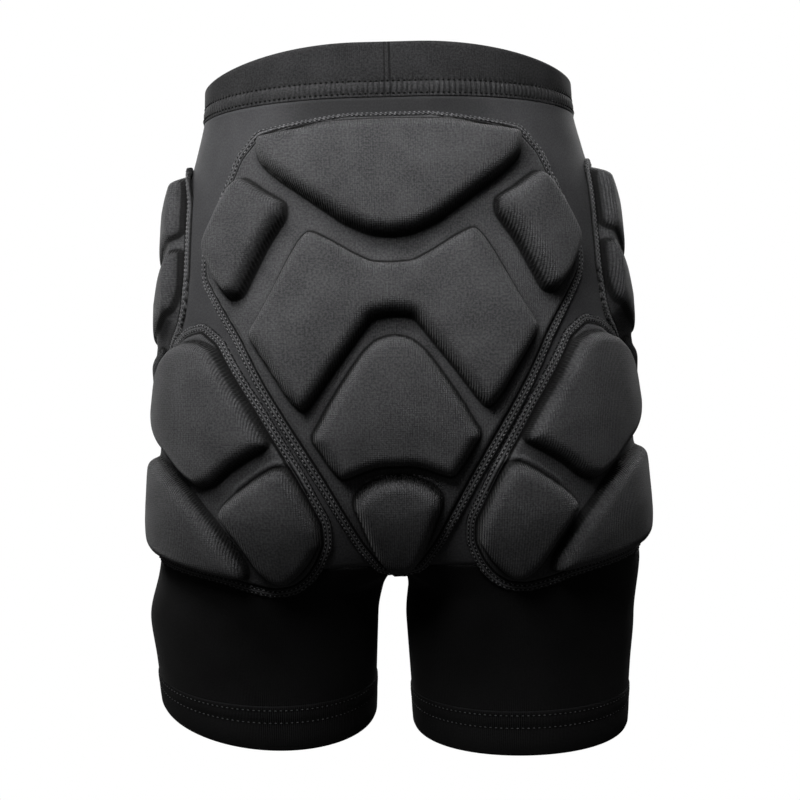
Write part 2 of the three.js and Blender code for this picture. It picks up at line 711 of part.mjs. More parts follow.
function makeSidePads(name, turn) {
  makePanel(`${name}_thigh_panel`, turn(thighPanelOutline()), THIGH_PAD.height);
  for (const lobe of ['lobe_upper', 'lobe_inner', 'lobe_outer']) {
    const outline = outlineOf(THIGH_PAD, THIGH_OUTLINES[lobe]);
    makeLobe(`${name}_thigh_${lobe}`, turn(outline), THIGH_PAD.lobeHeight);
  }
  makePanel(`${name}_hip_panel`, turn(hipPanelOutline()), HIP_PAD.height);
  for (const lobe of ['lobe_upper', 'lobe_middle', 'lobe_lower']) {
    const outline = outlineOf(HIP_PAD, HIP_OUTLINES[lobe]);
    makeLobe(`${name}_hip_${lobe}`, turn(outline), HIP_PAD.lobeHeight);
  }
}

makeWaistband();
makeSeat();
makeLeg(-1, 'left');
makeLeg(1, 'right');
makeTailPad();
for (const { name, turn } of SIDES) makeSidePads(name, turn);

export default group;
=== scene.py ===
import math

import bpy
import numpy as np
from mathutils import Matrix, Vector


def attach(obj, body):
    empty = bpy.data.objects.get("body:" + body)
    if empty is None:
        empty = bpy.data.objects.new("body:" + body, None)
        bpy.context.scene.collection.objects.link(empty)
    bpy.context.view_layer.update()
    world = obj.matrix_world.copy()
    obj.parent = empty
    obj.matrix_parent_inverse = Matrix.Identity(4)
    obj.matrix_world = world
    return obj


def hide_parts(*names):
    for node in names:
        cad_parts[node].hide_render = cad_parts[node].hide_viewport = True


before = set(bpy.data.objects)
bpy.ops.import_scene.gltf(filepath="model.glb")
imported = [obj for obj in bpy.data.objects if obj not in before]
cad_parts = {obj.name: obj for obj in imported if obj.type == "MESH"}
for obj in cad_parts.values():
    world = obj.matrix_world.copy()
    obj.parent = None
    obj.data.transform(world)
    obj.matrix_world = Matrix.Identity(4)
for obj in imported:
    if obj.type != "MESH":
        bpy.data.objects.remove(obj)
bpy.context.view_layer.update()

MM = 0.001

# Sizes of the garment, in millimetres, as the solids have them
CROTCH_DROP = 345
LEG_LENGTH = 103
BAND_TOP_AT_SIDE = 17
BACK_RISE = 14
BAND_FOOT = 8
HEM_HEIGHT = 24
LEG_GAP_AT_CROTCH = 17
LEG_GAP_AT_HEM = 29
CLEFT_DEPTH = 18
CLEFT_WIDTH = 44

# Body form at the waist, hip, thigh and hem: half width, back, front, flat middle
STATIONS = np.array(
    [
        (138, 97, 92, 20),
        (170, 128, 106, 54),
        (183, 88, 92, 95),
        (173, 74, 85, 95),
    ],
    float,
)

# Sections of the body form: down, then how far half width, back, front and flat middle have
# come from one station to the next, and the share of the cleft's depth
FORM_ROWS = [
    (-0.1, 0.0, 0.0, 0.0, 0.0, 0),
    (0.0, 0.03, 0.0, 0.0, 0.0, 0),
    (0.1, 0.28, 0.16, 0.21, 0.18, 0),
    (0.19, 0.56, 0.35, 0.43, 0.38, 0),
    (0.29, 0.72, 0.52, 0.64, 0.53, 0),
    (0.39, 0.84, 0.71, 0.86, 0.68, 0),
    (0.49, 0.94, 0.9, 0.95, 0.82, 0),
    (0.59, 1.0, 1.0, 1.0, 1.0, 0),
    (0.69, 1.23, 1.02, 1.05, 1.15, 0.02),
    (0.84, 1.54, 1.18, 1.21, 1.44, 0.2),
    (0.94, 1.77, 1.5, 1.5, 1.68, 0.6),
    (1.0, 1.92, 1.75, 1.71, 1.83, 1),
    (1.34, 2.0, 2.0, 2.0, 2.0, 1),
    (1.63, 2.35, 2.43, 2.3, 2.3, 1),
    (2.0, 2.72, 2.8, 2.7, 2.7, 1),
]

# Places of the pads: near edge round the body from the centre back, width, top and height; how
# thick the quilted field is, how wide its slope up from the flange is, and how high the foam
# lobes stand on it
TAIL_PAD = dict(inner=0, width=146, top=19, height=325, field=4.4, ramp=3.5, lobe=12.5)
THIGH_PAD = dict(inner=46, width=192, top=161, height=194, field=4.4, ramp=3.5, lobe=10.5)
HIP_PAD = dict(inner=165, width=113, top=41, height=213, field=10.5, ramp=11, lobe=3.2)
LEFT_HIP_PAD = dict(HIP_PAD, corner_off=6)  # its near upper corner stands off the seat
CORNER_REACH = 13
CORNER_DROP = 34
PAD_CLEARANCE = 1.2

# Outlines: across is a share of the pad's width, top and foot shares of its height
TAIL_PANEL = [
    (0.0, 0.0, 1.0),
    (0.12, 0.0, 0.985),
    (0.21, 0.0, 0.93),
    (0.38, 0.01, 0.79),
    (0.66, 0.025, 0.58),
    (0.77, 0.075, 0.49),
    (0.84, 0.14, 0.445),
    (0.93, 0.212, 0.39),
    (0.985, 0.262, 0.357),
    (1.0, 0.29, 0.33),
]
TAIL_TOP = [
    (0.0, 0.022, 0.274),
    (0.1, 0.022, 0.268),
    (0.22, 0.024, 0.243),
    (0.39, 0.028, 0.185),
    (0.51, 0.032, 0.145),
    (0.59, 0.038, 0.114),
    (0.623, 0.05, 0.092),
]
TAIL_MIDDLE = [
    (0.0, 0.332, 0.44),
    (0.1, 0.329, 0.446),
    (0.19, 0.308, 0.5),
    (0.29, 0.28, 0.557),
    (0.38, 0.258, 0.613),
    (0.425, 0.28, 0.637),
    (0.48, 0.323, 0.61),
    (0.56, 0.394, 0.551),
    (0.63, 0.449, 0.502),
    (0.66, 0.468, 0.483),
]
TAIL_LOWER = [
    (0.0, 0.483, 0.75),
    (0.08, 0.492, 0.75),
    (0.137, 0.514, 0.757),
    (0.19, 0.545, 0.766),
    (0.26, 0.591, 0.777),
    (0.31, 0.625, 0.748),
    (0.36, 0.665, 0.711),
    (0.39, 0.683, 0.692),
]
TAIL_TIP = [
    (0.0, 0.769, 0.962),
    (0.06, 0.772, 0.962),
    (0.11, 0.778, 0.945),
    (0.15, 0.788, 0.9),
    (0.185, 0.8, 0.855),
    (0.208, 0.812, 0.834),
]
TAIL_SIDE = [
    (0.486, 0.197, 0.228),
    (0.58, 0.172, 0.289),
    (0.65, 0.148, 0.348),
    (0.705, 0.134, 0.394),
    (0.767, 0.154, 0.397),
    (0.836, 0.2, 0.363),
    (0.89, 0.243, 0.317),
    (0.918, 0.268, 0.292),
]
THIGH_PANEL = [
    (0.0, 0.72, 0.81),
    (0.04, 0.64, 0.89),
    (0.09, 0.54, 0.95),
    (0.15, 0.43, 0.99),
    (0.23, 0.3, 1.0),
    (0.33, 0.165, 0.975),
    (0.4, 0.06, 0.95),
    (0.5, 0.0, 0.93),
    (0.61, 0.01, 0.915),
    (0.74, 0.055, 0.9),
    (0.87, 0.15, 0.88),
    (0.96, 0.28, 0.81),
    (1.0, 0.41, 0.7),
]
THIGH_UPPER = [
    (0.205, 0.4, 0.45),
    (0.26, 0.31, 0.478),
    (0.34, 0.2, 0.525),
    (0.41, 0.115, 0.58),
    (0.475, 0.08, 0.596),
    (0.55, 0.07, 0.56),
    (0.65, 0.085, 0.492),
    (0.74, 0.12, 0.455),
    (0.84, 0.18, 0.41),
    (0.91, 0.25, 0.37),
    (0.94, 0.285, 0.34),
]
THIGH_INNER = [
    (0.05, 0.71, 0.785),
    (0.09, 0.61, 0.85),
    (0.14, 0.525, 0.9),
    (0.18, 0.52, 0.93),
    (0.23, 0.545, 0.925),
    (0.275, 0.575, 0.875),
    (0.325, 0.61, 0.785),
    (0.375, 0.648, 0.715),
    (0.395, 0.672, 0.692),
]
THIGH_OUTER = [
    (0.31, 0.862, 0.908),
    (0.35, 0.797, 0.908),
    (0.415, 0.713, 0.9),
    (0.53, 0.61, 0.893),
    (0.625, 0.552, 0.88),
    (0.73, 0.515, 0.866),
    (0.83, 0.49, 0.835),
    (0.92, 0.495, 0.768),
    (0.96, 0.54, 0.696),
]
HIP_PANEL = [
    (0.0, 0.055, 0.4),
    (0.045, 0.02, 0.53),
    (0.12, 0.005, 0.59),
    (0.31, 0.0, 0.66),
    (0.49, 0.005, 0.74),
    (0.65, 0.014, 0.85),
    (0.74, 0.033, 0.97),
    (0.82, 0.066, 1.0),
    (0.91, 0.136, 0.98),
    (0.97, 0.25, 0.91),
    (1.0, 0.37, 0.8),
]
HIP_UPPER = [
    (0.07, 0.075, 0.245),
    (0.13, 0.045, 0.268),
    (0.31, 0.036, 0.31),
    (0.5, 0.036, 0.357),
    (0.59, 0.04, 0.37),
    (0.7, 0.055, 0.342),
    (0.82, 0.1, 0.305),
    (0.9, 0.16, 0.275),
    (0.92, 0.19, 0.262),
]
HIP_MIDDLE = [
    (0.075, 0.305, 0.43),
    (0.14, 0.315, 0.51),
    (0.31, 0.361, 0.56),
    (0.5, 0.408, 0.605),
    (0.59, 0.42, 0.624),
    (0.7, 0.4, 0.596),
    (0.82, 0.361, 0.56),
    (0.91, 0.325, 0.515),
    (0.94, 0.335, 0.48),
]
HIP_LOWER = [
    (0.42, 0.632, 0.664),
    (0.51, 0.655, 0.71),
    (0.59, 0.672, 0.775),
    (0.7, 0.652, 0.9),
    (0.79, 0.624, 0.955),
    (0.87, 0.6, 0.945),
    (0.93, 0.58, 0.88),
    (0.955, 0.6, 0.82),
]

# Cloth and foam of the pads, in millimetres
GRID = 1.3  # spacing of the pads' points
PAD_BASE = 0.4  # underside of a pad above the body
FLANGE_THICK = 2.4
FLANGE_WIDTH = 7.0
EDGE_ROLL = 1.0  # width over which a flange's edge is rounded
NARROW_FADE = 8  # height over which a flange grows narrow
CREASE_DEPTH, CREASE_REACH = 1.5, 0.9  # crease between a flange and its field
GROOVE_DEPTH, GROOVE_REACH = 0.6, 0.7  # groove that a row of stitches draws
CHANNEL_SAG = 0.5
CHANNEL_REACH = 6  # how far in from a flange or a lobe the full sag is
LOBE_GAP = 1.0  # lobes keep this far from the flange
LOBE_WALL = 9.5  # distance from a lobe's foot in to its full height
WALL_FULLNESS, WALL_POWER = 2.6, 0.66  # how early a lobe's wall is upright and turns over
LOBE_CROWN = 3.0
CROWN_REACH = 24
FILLET = 0.8
FILLET_REACH = 1.2
PANEL_CORNER = 3.2  # rounding of a panel's corners
LOBE_CORNER = 2.6
OUTER_SLIM = 0.2  # share by which the thigh lobes thin out towards the outer side
SLIM_FROM, SLIM_REACH = 165, 60  # where that begins, round the body, and how soon it is full
STITCH_ROWS = (1.9, 4.9)  # rows of stitches on a flange, from its edge
NARROW_ABOVE = -24  # level above which the tail pad's flange is half as wide

# Thin ridges in the channels: the lobe that each runs beside and how far from it, its two ends
# round the body and in level, and its height
RIDGE_REACH = 1.2
RIDGE_FADE = (4, 3)  # how softly a ridge starts and ends, round the body and in level
TAIL_RIDGE = dict(lobe=2, away=6.0, across=(-10, 26), level=(-275, -254), height=2.34)
THIGH_RIDGE = dict(lobe=1, away=3.2, across=(60, 112), level=(-296, -240), height=2.08)

# Stitches of a row: spacing, length and thickness
PAD_STITCH = (3.3, 1.9, 0.85)
BAND_STITCH = (3.9, 2.3, 1.8)
HEM_STITCH = (3.9, 1.8, 0.8)
STITCH_SINK = 0.35  # how far the flange's stitches sink into it


# Body form


def level_of(down):
    if down <= 1:
        return -CROTCH_DROP * down
    return -CROTCH_DROP - LEG_LENGTH * (down - 1)


def station_value(column, place):
    first = min(max(int(math.floor(place)), 0), len(STATIONS) - 2)
    share = place - first
    return STATIONS[first, column] * (1 - share) + STATIONS[first + 1, column] * share


def form_table():
    rows = []
    for down, wide, back, front, flat, cleft in FORM_ROWS:
        places = (wide, back, front, flat)
        values = [station_value(k, place) for k, place in enumerate(places)]
        rows.append((level_of(down), *values, CLEFT_DEPTH * cleft))
    return np.array(rows[::-1])


FORM = form_table()
FORM_SLOPES = np.gradient(FORM, axis=0) / np.gradient(FORM[:, 0])[:, None]


def form_at(level):
    """Half width, back, front, flat middle and cleft at each level, on smooth curves."""
    level = np.asarray(level, float)
    i = np.clip(np.searchsorted(FORM[:, 0], level) - 1, 0, len(FORM) - 2)
    span = FORM[i + 1, 0] - FORM[i, 0]
    t = (level - FORM[i, 0]) / span
    values = []
    for k in range(1, 6):
        start = (1 + 2 * t) * (1 - t) ** 2 * FORM[i, k] + t * (1 - t) ** 2 * span * FORM_SLOPES[i, k]
        end = t * t * (3 - 2 * t) * FORM[i + 1, k] + t * t * (t - 1) * span * FORM_SLOPES[i + 1, k]
        values.append(start + end)
    return values


SECTION_POINTS = 90


def half_section(level):
    """Half of the section at one level, from the centre back round to the centre front."""
    wide, back, front, flat, cleft = form_at(level)
    angle = np.linspace(0, math.pi / 2, SECTION_POINTS)
    run = np.linspace(0, 1, 30)[:-1]
    x = np.concatenate(
        [
            flat * run,
            flat + (wide - flat) * np.sin(angle),
            flat + (wide - flat) * np.cos(angle[1:]),
            flat * run[::-1],
        ]
    )
    y = np.concatenate(
        [
            -back + 0 * run,
            -back * np.cos(angle),
            front * np.sin(angle[1:]),
            front + 0 * run,
        ]
    )
    behind = y < 0
    y = y + behind * cleft * np.exp(-((x / CLEFT_WIDTH) ** 2))
    return x, y


class BodySurface:
    """The body form, read by distance round it from the centre back and by level."""

    STEP = 2.0

    def __init__(self, lowest, highest, reach):
        self.levels = np.arange(lowest, highest + self.STEP, self.STEP)
        self.rounds = np.arange(0, reach + self.STEP, self.STEP)
        rows = []
        for level in self.levels:
            x, y = half_section(level)
            length = np.concatenate([[0], np.cumsum(np.hypot(np.diff(x), np.diff(y)))])
            rows.append((np.interp(self.rounds, length, x), np.interp(self.rounds, length, y)))
        grid = np.array(rows)
        up, around = np.gradient(grid, self.STEP, self.STEP, axis=(0, 2))
        self.table = np.stack(
            [grid[:, 0], grid[:, 1], around[:, 0], around[:, 1], up[:, 0], up[:, 1]], axis=-1
        )

    def read(self, around, level):
        r = np.clip(np.abs(around) / self.STEP, 0, len(self.rounds) - 1.001)
        q = np.clip((level - self.levels[0]) / self.STEP, 0, len(self.levels) - 1.001)
        i, j = q.astype(int), r.astype(int)
        u, v = (q - i)[:, None], (r - j)[:, None]
        low = self.table[i, j] * (1 - v) + self.table[i, j + 1] * v
        high = self.table[i + 1, j] * (1 - v) + self.table[i + 1, j + 1] * v
        return low * (1 - u) + high * u

    def points(self, around, level, lift):
        """Points at a lift over the surface, and the surface's outward directions."""
        t = self.read(around, level)
        side = np.where(around < 0, -1.0, 1.0)
        normal = np.stack([t[:, 3], -t[:, 2], t[:, 2] * t[:, 5] - t[:, 3] * t[:, 4]], axis=-1)
        normal /= np.linalg.norm(normal, axis=1)[:, None]
        place = np.stack([t[:, 0], t[:, 1], level], axis=-1) + normal * np.reshape(lift, (-1, 1))
        mirror = np.stack([side, np.ones_like(side), np.ones_like(side)], axis=-1)
        return place * mirror, normal * mirror


SURFACE = BodySurface(-372, 44, 330)


# Flat outlines in round and level, in millimetres


def outline_rows(pad, rows):
    rows = np.array(rows, float)
    around = pad["inner"] + pad["width"] * rows[:, 0]
    top = -pad["top"] - pad["height"] * rows[:, 1]
    foot = -pad["top"] - pad["height"] * rows[:, 2]
    return np.stack([around, top, foot], axis=-1)


def both_halves(rows):
    left = rows[:0:-1] * (-1, 1, 1)
    return np.concatenate([left, rows])


def slope_factor(rows, around, edge):
    step = 3
    near = np.interp([around - step, around + step], rows[:, 0], rows[:, edge])
    return min(math.hypot(1, (near[1] - near[0]) / (2 * step)), 2.2)


def thigh_rows():
    """The thigh panel's outline, whose upper edge stays clear of the tail pad."""
    tail = outline_rows(TAIL_PAD, TAIL_PANEL)
    rows = outline_rows(THIGH_PAD, THIGH_PANEL)
    for row in rows:
        if row[0] <= TAIL_PAD["width"]:
            limit = np.interp(row[0], tail[:, 0], tail[:, 2])
            row[1] = min(row[1], limit - PAD_CLEARANCE * slope_factor(tail, row[0], 2))
    return rows


def hip_rows():
    """The hip panel's outline, whose foot stays clear of the thigh pad."""
    thigh = thigh_rows()
    rows = outline_rows(HIP_PAD, HIP_PANEL)
    for row in rows:
        if row[0] <= THIGH_PAD["inner"] + THIGH_PAD["width"]:
            limit = np.interp(row[0], thigh[:, 0], thigh[:, 1])
            row[2] = max(row[2], limit + PAD_CLEARANCE * slope_factor(thigh, row[0], 1))
    return rows


def rounded_outline(rows, corner):
    """Closed outline of a table's top and foot edges, with its corners rounded."""
    corners = np.concatenate([rows[:, [0, 1]], rows[::-1][:, [0, 2]]])
    closed = np.concatenate([corners, corners[:1]])
    length = np.concatenate([[0], np.cumsum(np.hypot(*np.diff(closed, axis=0).T))])
    count = int(length[-1] / 1.0)
    at = np.linspace(0, length[-1], count, endpoint=False)
    ring = np.stack([np.interp(at, length, closed[:, k]) for k in (0, 1)], axis=-1)
    step = length[-1] / count
    waves = np.fft.fftfreq(count, d=step)
    soften = np.exp(-2 * (math.pi * waves * corner) ** 2)
    ring = np.fft.ifft(np.fft.fft(ring, axis=0) * soften[:, None], axis=0).real
    return ring[::3]


def inside_distance(points, outline):
    """Distance of flat points from an outline, positive inside it."""
    nearest = np.full(len(points), np.inf)
    inside = np.zeros(len(points), bool)
    px, py = points[:, 0], points[:, 1]
    for (ax, ay), (bx, by) in zip(outline, np.roll(outline, -1, axis=0)):
        ex, ey = bx - ax, by - ay
        t = np.clip(((px - ax) * ex + (py - ay) * ey) / (ex * ex + ey * ey), 0, 1)
        nearest = np.minimum(nearest, (px - ax - t * ex) ** 2 + (py - ay - t * ey) ** 2)
        crosses = (ay > py) != (by > py)
        if ey:
            inside ^= crosses & (px < ex * (py - ay) / ey + ax)
    return np.where(inside, 1, -1) * np.sqrt(nearest)


# Meshes


def link(name, mesh, material):
    piece = bpy.data.objects.new(name, mesh)
    bpy.context.collection.objects.link(piece)
    mesh.materials.append(material)
    return piece


def smooth_mesh(name, points, faces):
    """A mesh of millimetre points, smooth shaded, in metres."""
    mesh = bpy.data.meshes.new(name)
    mesh.from_pydata((np.asarray(points) * MM).tolist(), [], [list(map(int, f)) for f in faces])
    mesh.polygons.foreach_set("use_smooth", [True] * len(mesh.polygons))
    mesh.update()
    return mesh


def add_cloth_map(mesh, around, level):
    """A UV map in metres: round the body, and up."""
    layer = mesh.uv_layers.new(name="cloth")
    loops = np.zeros(len(mesh.loops), np.int32)
    mesh.loops.foreach_get("vertex_index", loops)
    flat = np.stack([np.asarray(around)[loops], np.asarray(level)[loops]], axis=-1) * MM
    layer.data.foreach_set("uv", flat.ravel())


def add_attribute(mesh, name, values):
    attribute = mesh.attributes.new(name, "FLOAT", "POINT")
    attribute.data.foreach_set("value", np.asarray(values, np.float32))


def panel_grid(outline):
    """Grid over an outline whose border points lie on it: points, faces and edge distances."""
    low = outline.min(axis=0) - 2 * GRID
    high = outline.max(axis=0) + 2 * GRID
    xs = np.arange(low[0], high[0] + GRID, GRID)
    ys = np.arange(low[1], high[1] + GRID, GRID)
    gx, gy = np.meshgrid(xs, ys, indexing="ij")
    flat = np.stack([gx.ravel(), gy.ravel()], axis=-1)
    depth = inside_distance(flat, outline).reshape(gx.shape)
    slope = np.stack(np.gradient(depth, GRID), axis=-1)
    length = np.linalg.norm(slope, axis=-1, keepdims=True)
    slope = slope / np.maximum(length, 1e-6)
    border = depth < 0.4 * GRID
    grid = np.stack([gx, gy], axis=-1)
    grid = np.where(border[..., None], grid - slope * depth[..., None], grid)
    keep = depth > -0.62 * GRID
    cell = keep[:-1, :-1] & keep[1:, :-1] & keep[1:, 1:] & keep[:-1, 1:]
    number = np.arange(gx.size).reshape(gx.shape)
    corners = [number[:-1, :-1], number[1:, :-1], number[1:, 1:], number[:-1, 1:]]
    faces = np.stack([c[cell] for c in corners], axis=-1)
    used, faces = np.unique(faces, return_inverse=True)
    faces = faces.reshape(-1, 4)
    points = grid.reshape(-1, 2)[used]
    edge = np.where(border, 0, depth).ravel()[used]
    return points, faces, np.maximum(edge, 0)


def border_edges(faces):
    """Edges that only one face uses, in that face's direction."""
    edges = np.concatenate([faces[:, [k, (k + 1) % 4]] for k in range(4)])
    key = np.sort(edges, axis=1)
    _, first, count = np.unique(key, axis=0, return_index=True, return_counts=True)
    return edges[first[count == 1]]


def smoothstep(low, high, x):
    t = np.clip((x - low) / (high - low), 0, 1)
    return t * t * (3 - 2 * t)


def stand_off(pad, flat):
    """How far a pad's near upper corner has come off the cloth under it."""
    near = np.exp(-(((np.abs(flat[:, 0]) - pad["inner"]) / CORNER_REACH) ** 2))
    high = smoothstep(-pad["top"] - CORNER_DROP, -pad["top"] - 4, flat[:, 1])
    return pad.get("corner_off", 0) * near * high


def narrowing(narrow_above, level):
    """How many times narrower a flange is at each level."""
    if narrow_above is None:
        return np.ones(len(level))
    return 1 + smoothstep(narrow_above - NARROW_FADE, narrow_above, level)


def window(value, ends, fade):
    """1 between two ends, with a soft start and stop inside them."""
    low, high = ends
    return smoothstep(low, low + fade, value) * smoothstep(-high, fade - high, -value)


def bell(away, reach):
    return np.exp(-((away / reach) ** 2))


def flange_rise(edge, field, ramp):
    """Height of a panel over its underside at a distance from its edge."""
    rolled = FLANGE_THICK * np.sqrt(1 - (1 - np.clip(edge / EDGE_ROLL, 0, 1)) ** 2)
    inner = (field - FLANGE_THICK) * smoothstep(FLANGE_WIDTH, FLANGE_WIDTH + ramp, edge)
    grooves = GROOVE_DEPTH * sum(bell(edge - row, GROOVE_REACH) for row in STITCH_ROWS)
    crease = CREASE_DEPTH * bell(edge - FLANGE_WIDTH, CREASE_REACH)
    return rolled + inner - grooves - crease


def soft_least(first, second, blend=1.0):
    """The lesser of two distances, rounded off where they meet."""
    return -blend * np.logaddexp(-first / blend, -second / blend)


def lobe_rise(depth, height):
    """Height of a foam lobe over the panel at a distance inside its outline."""
    t = np.clip(depth / LOBE_WALL, 0, 1)
    wall = (1 - (1 - t) ** WALL_FULLNESS) ** WALL_POWER
    crown = LOBE_CROWN * (1 - np.exp(-np.maximum(depth, 0) / CROWN_REACH))
    inside = FILLET + (height - FILLET) * wall + crown
    outside = FILLET * np.exp(np.minimum(depth, 0) / FILLET_REACH)
    return np.where(depth > 0, inside, outside)


def ridge_rise(ridge, depths, flat):
    """Height of a thin ridge that runs along a channel beside one lobe."""
    line = bell(depths[ridge["lobe"]] + ridge["away"], RIDGE_REACH)
    line *= window(np.abs(flat[:, 0]), ridge["across"], RIDGE_FADE[0])
    return ridge["height"] * line * window(flat[:, 1], ridge["level"], RIDGE_FADE[1])


def lobe_depths(lobes, flat, edge):
    """Distance inside each lobe's outline, where the lobe also keeps off the flange."""
    depths = []
    for lobe in lobes:
        depth = inside_distance(flat, rounded_outline(lobe, LOBE_CORNER))
        depths.append(soft_least(depth, edge - FLANGE_WIDTH - LOBE_GAP))
    return depths


def quilted_pad(name, pad, panel, lobes, material, narrow_above=None, slim=False, ridge=None):
    """A pad: stitched flange, channels and raised foam lobes over the body form."""
    outline = rounded_outline(panel, PANEL_CORNER)
    flat, faces, edge = panel_grid(outline)
    edge = edge * narrowing(narrow_above, flat[:, 1])
    depths = lobe_depths(lobes, flat, edge)
    lobe_edge = np.max(depths, axis=0)
    raised = np.max([lobe_rise(depth, pad["lobe"]) for depth in depths], axis=0)
    if slim:
        outer = smoothstep(SLIM_FROM, SLIM_FROM + SLIM_REACH, np.abs(flat[:, 0]))
        raised *= 1 - OUTER_SLIM * outer
    if ridge is not None:
        raised = raised + ridge_rise(ridge, depths, flat)
    field = smoothstep(FLANGE_WIDTH, FLANGE_WIDTH + CHANNEL_REACH, edge)
    sag = CHANNEL_SAG * smoothstep(1, CHANNEL_REACH, -lobe_edge) * field
    rise = flange_rise(edge, pad["field"], pad["ramp"]) + raised * smoothstep(0, 2, edge) - sag
    base = PAD_BASE + stand_off(pad, flat)
    top, _ = SURFACE.points(flat[:, 0], flat[:, 1], base + rise)
    under, _ = SURFACE.points(flat[:, 0], flat[:, 1], base)
    count = len(flat)
    rim = border_edges(faces)
    walls = np.stack([rim[:, 1], rim[:, 0], rim[:, 0] + count, rim[:, 1] + count], axis=-1)
    all_faces = np.concatenate([faces, faces[:, ::-1] + count, walls])
    mesh = smooth_mesh(name, np.concatenate([top, under]), all_faces)
    add_cloth_map(mesh, np.tile(flat[:, 0], 2), np.tile(flat[:, 1], 2))
    add_attribute(mesh, "flange_edge", np.tile(edge, 2))
    add_attribute(mesh, "lobe_edge", np.tile(lobe_edge, 2))
    return link(name, mesh, material), outline


def ring_mesh(name, rings, rounds):
    """Skin over rings of equal length, whose profile closes on itself."""
    rings = np.asarray(rings)
    bands, count = rings.shape[:2]
    number = np.arange(bands * count).reshape(bands, count)
    ahead = np.roll(number, -1, axis=1)
    corners = [number, ahead, np.roll(ahead, -1, axis=0), np.roll(number, -1, axis=0)]
    faces = np.stack([corner.ravel() for corner in corners], axis=-1)
    mesh = smooth_mesh(name, rings.reshape(-1, 3), faces)
    add_round_map(mesh, rings, rounds)
    return mesh


def add_round_map(mesh, rings, rounds):
    """UV map of a ring mesh: distance round, running on past its seam, and level."""
    bands, count = rings.shape[:2]
    layer = mesh.uv_layers.new(name="cloth")
    loops = np.zeros(len(mesh.loops), np.int32)
    mesh.loops.foreach_get("vertex_index", loops)
    column = (loops % count).reshape(-1, 4)
    seam = (column.max(axis=1) - column.min(axis=1)) > count / 2
    column = np.where(seam[:, None] & (column < count / 2), column + count, column)
    around = column.ravel() * (rounds / count)
    flat = np.stack([around, rings.reshape(-1, 3)[loops, 2]], axis=-1) * MM
    layer.data.foreach_set("uv", flat.ravel())


def whole_section(level, count, inset=0.0):
    """The whole section at one level, evenly spaced, starting at the centre back."""
    x, y = half_section(level)
    length = np.concatenate([[0], np.cumsum(np.hypot(np.diff(x), np.diff(y)))])
    at = np.linspace(0, length[-1], count // 2 + 1)
    right = np.stack([np.interp(at, length, x), np.interp(at, length, y)], axis=-1)
    left = right[-2:0:-1] * (-1, 1)
    ring = np.concatenate([right, left])
    ahead, behind = np.roll(ring, -1, axis=0), np.roll(ring, 1, axis=0)
    along = ahead - behind
    outward = np.stack([along[:, 1], -along[:, 0]], axis=-1)
    outward /= np.linalg.norm(outward, axis=1)[:, None]
    return ring - outward * inset


def at_level(ring, level):
    return np.column_stack([ring, np.full(len(ring), float(level))])


def round_length(level):
    """Distance round the body at one level."""
    return 2 * np.sum(np.hypot(*np.diff(np.array(half_section(level)), axis=1)))


# Materials

# Dark and light tone of each cloth and thread
PAD_TONES = ((0.024, 0.024, 0.0255), (0.066, 0.066, 0.068))
SEAT_TONES = ((0.028, 0.028, 0.03), (0.05, 0.05, 0.052))
LEG_TONES = ((0.002, 0.002, 0.0021), (0.0048, 0.0048, 0.005))
HEM_TONES = ((0.002, 0.002, 0.0021), (0.0045, 0.0045, 0.0047))
BAND_TONES = ((0.01, 0.01, 0.0104), (0.031, 0.031, 0.032))
GREY_THREAD_TONES = ((0.09, 0.09, 0.094), (0.2, 0.2, 0.206))
HEM_THREAD_TONES = ((0.03, 0.03, 0.031), (0.06, 0.06, 0.062))
BLACK_THREAD_TONES = ((0.001, 0.001, 0.001), (0.003, 0.003, 0.003))
PAPER_TONES = ((0.86, 0.86, 0.86), (0.9, 0.9, 0.9))

# Knit of each cloth: spacing of its ribs and of its loops, in millimetres, and how much its
# loose fibres stand up
PAD_KNIT = (1.6, 1.3, 0.9)
SEAT_KNIT = (1.2, 1.0, 0.7)
LEG_KNIT = (1.3, 1.0, 0.7)
HEM_KNIT = (1.3, 1.0, 0.8)
BAND_KNIT = (1.4, 1.1, 0.8)
BAND_PUCKERS = 3.7  # spacing of the gathers between the waistband's rows of stitches

# What darkens or lightens the pads' cloth, each as a share of the cloth's own colour; most of these
# are painted shade or painted highlights
# painted shade in the grooves of the flange's stitch rows
GROOVE_SHADE_SHARE = 0.05
# painted shadow along the flange's outer edge
RIM_SHADOW_SHARE = 0.04
# painted shade in the crease between the flange and the field
CREASE_SHADE_SHARE = 0.02
# painted shade along the crease at each lobe's foot
LOBE_FOOT_SHADE_SHARE = 0.12
# painted shade on the channel and the lower wall round each lobe's foot
LOBE_WALL_SHADE_SHARE = 0.6
FLANGE_SHARE = 0.6
# painted highlights along the flange's rolled edge and its raised ridges
FLANGE_HIGHLIGHT_SHARE = 2.6
# painted shade, darker towards the pads' lower ends
LOW_SHADE_SHARE = 0.92
FLANGE_HIGHLIGHT_LINES = ((1.15, 0.45), (3.4, 0.7), (6.0, 0.6))  # middle and half width, from the edge


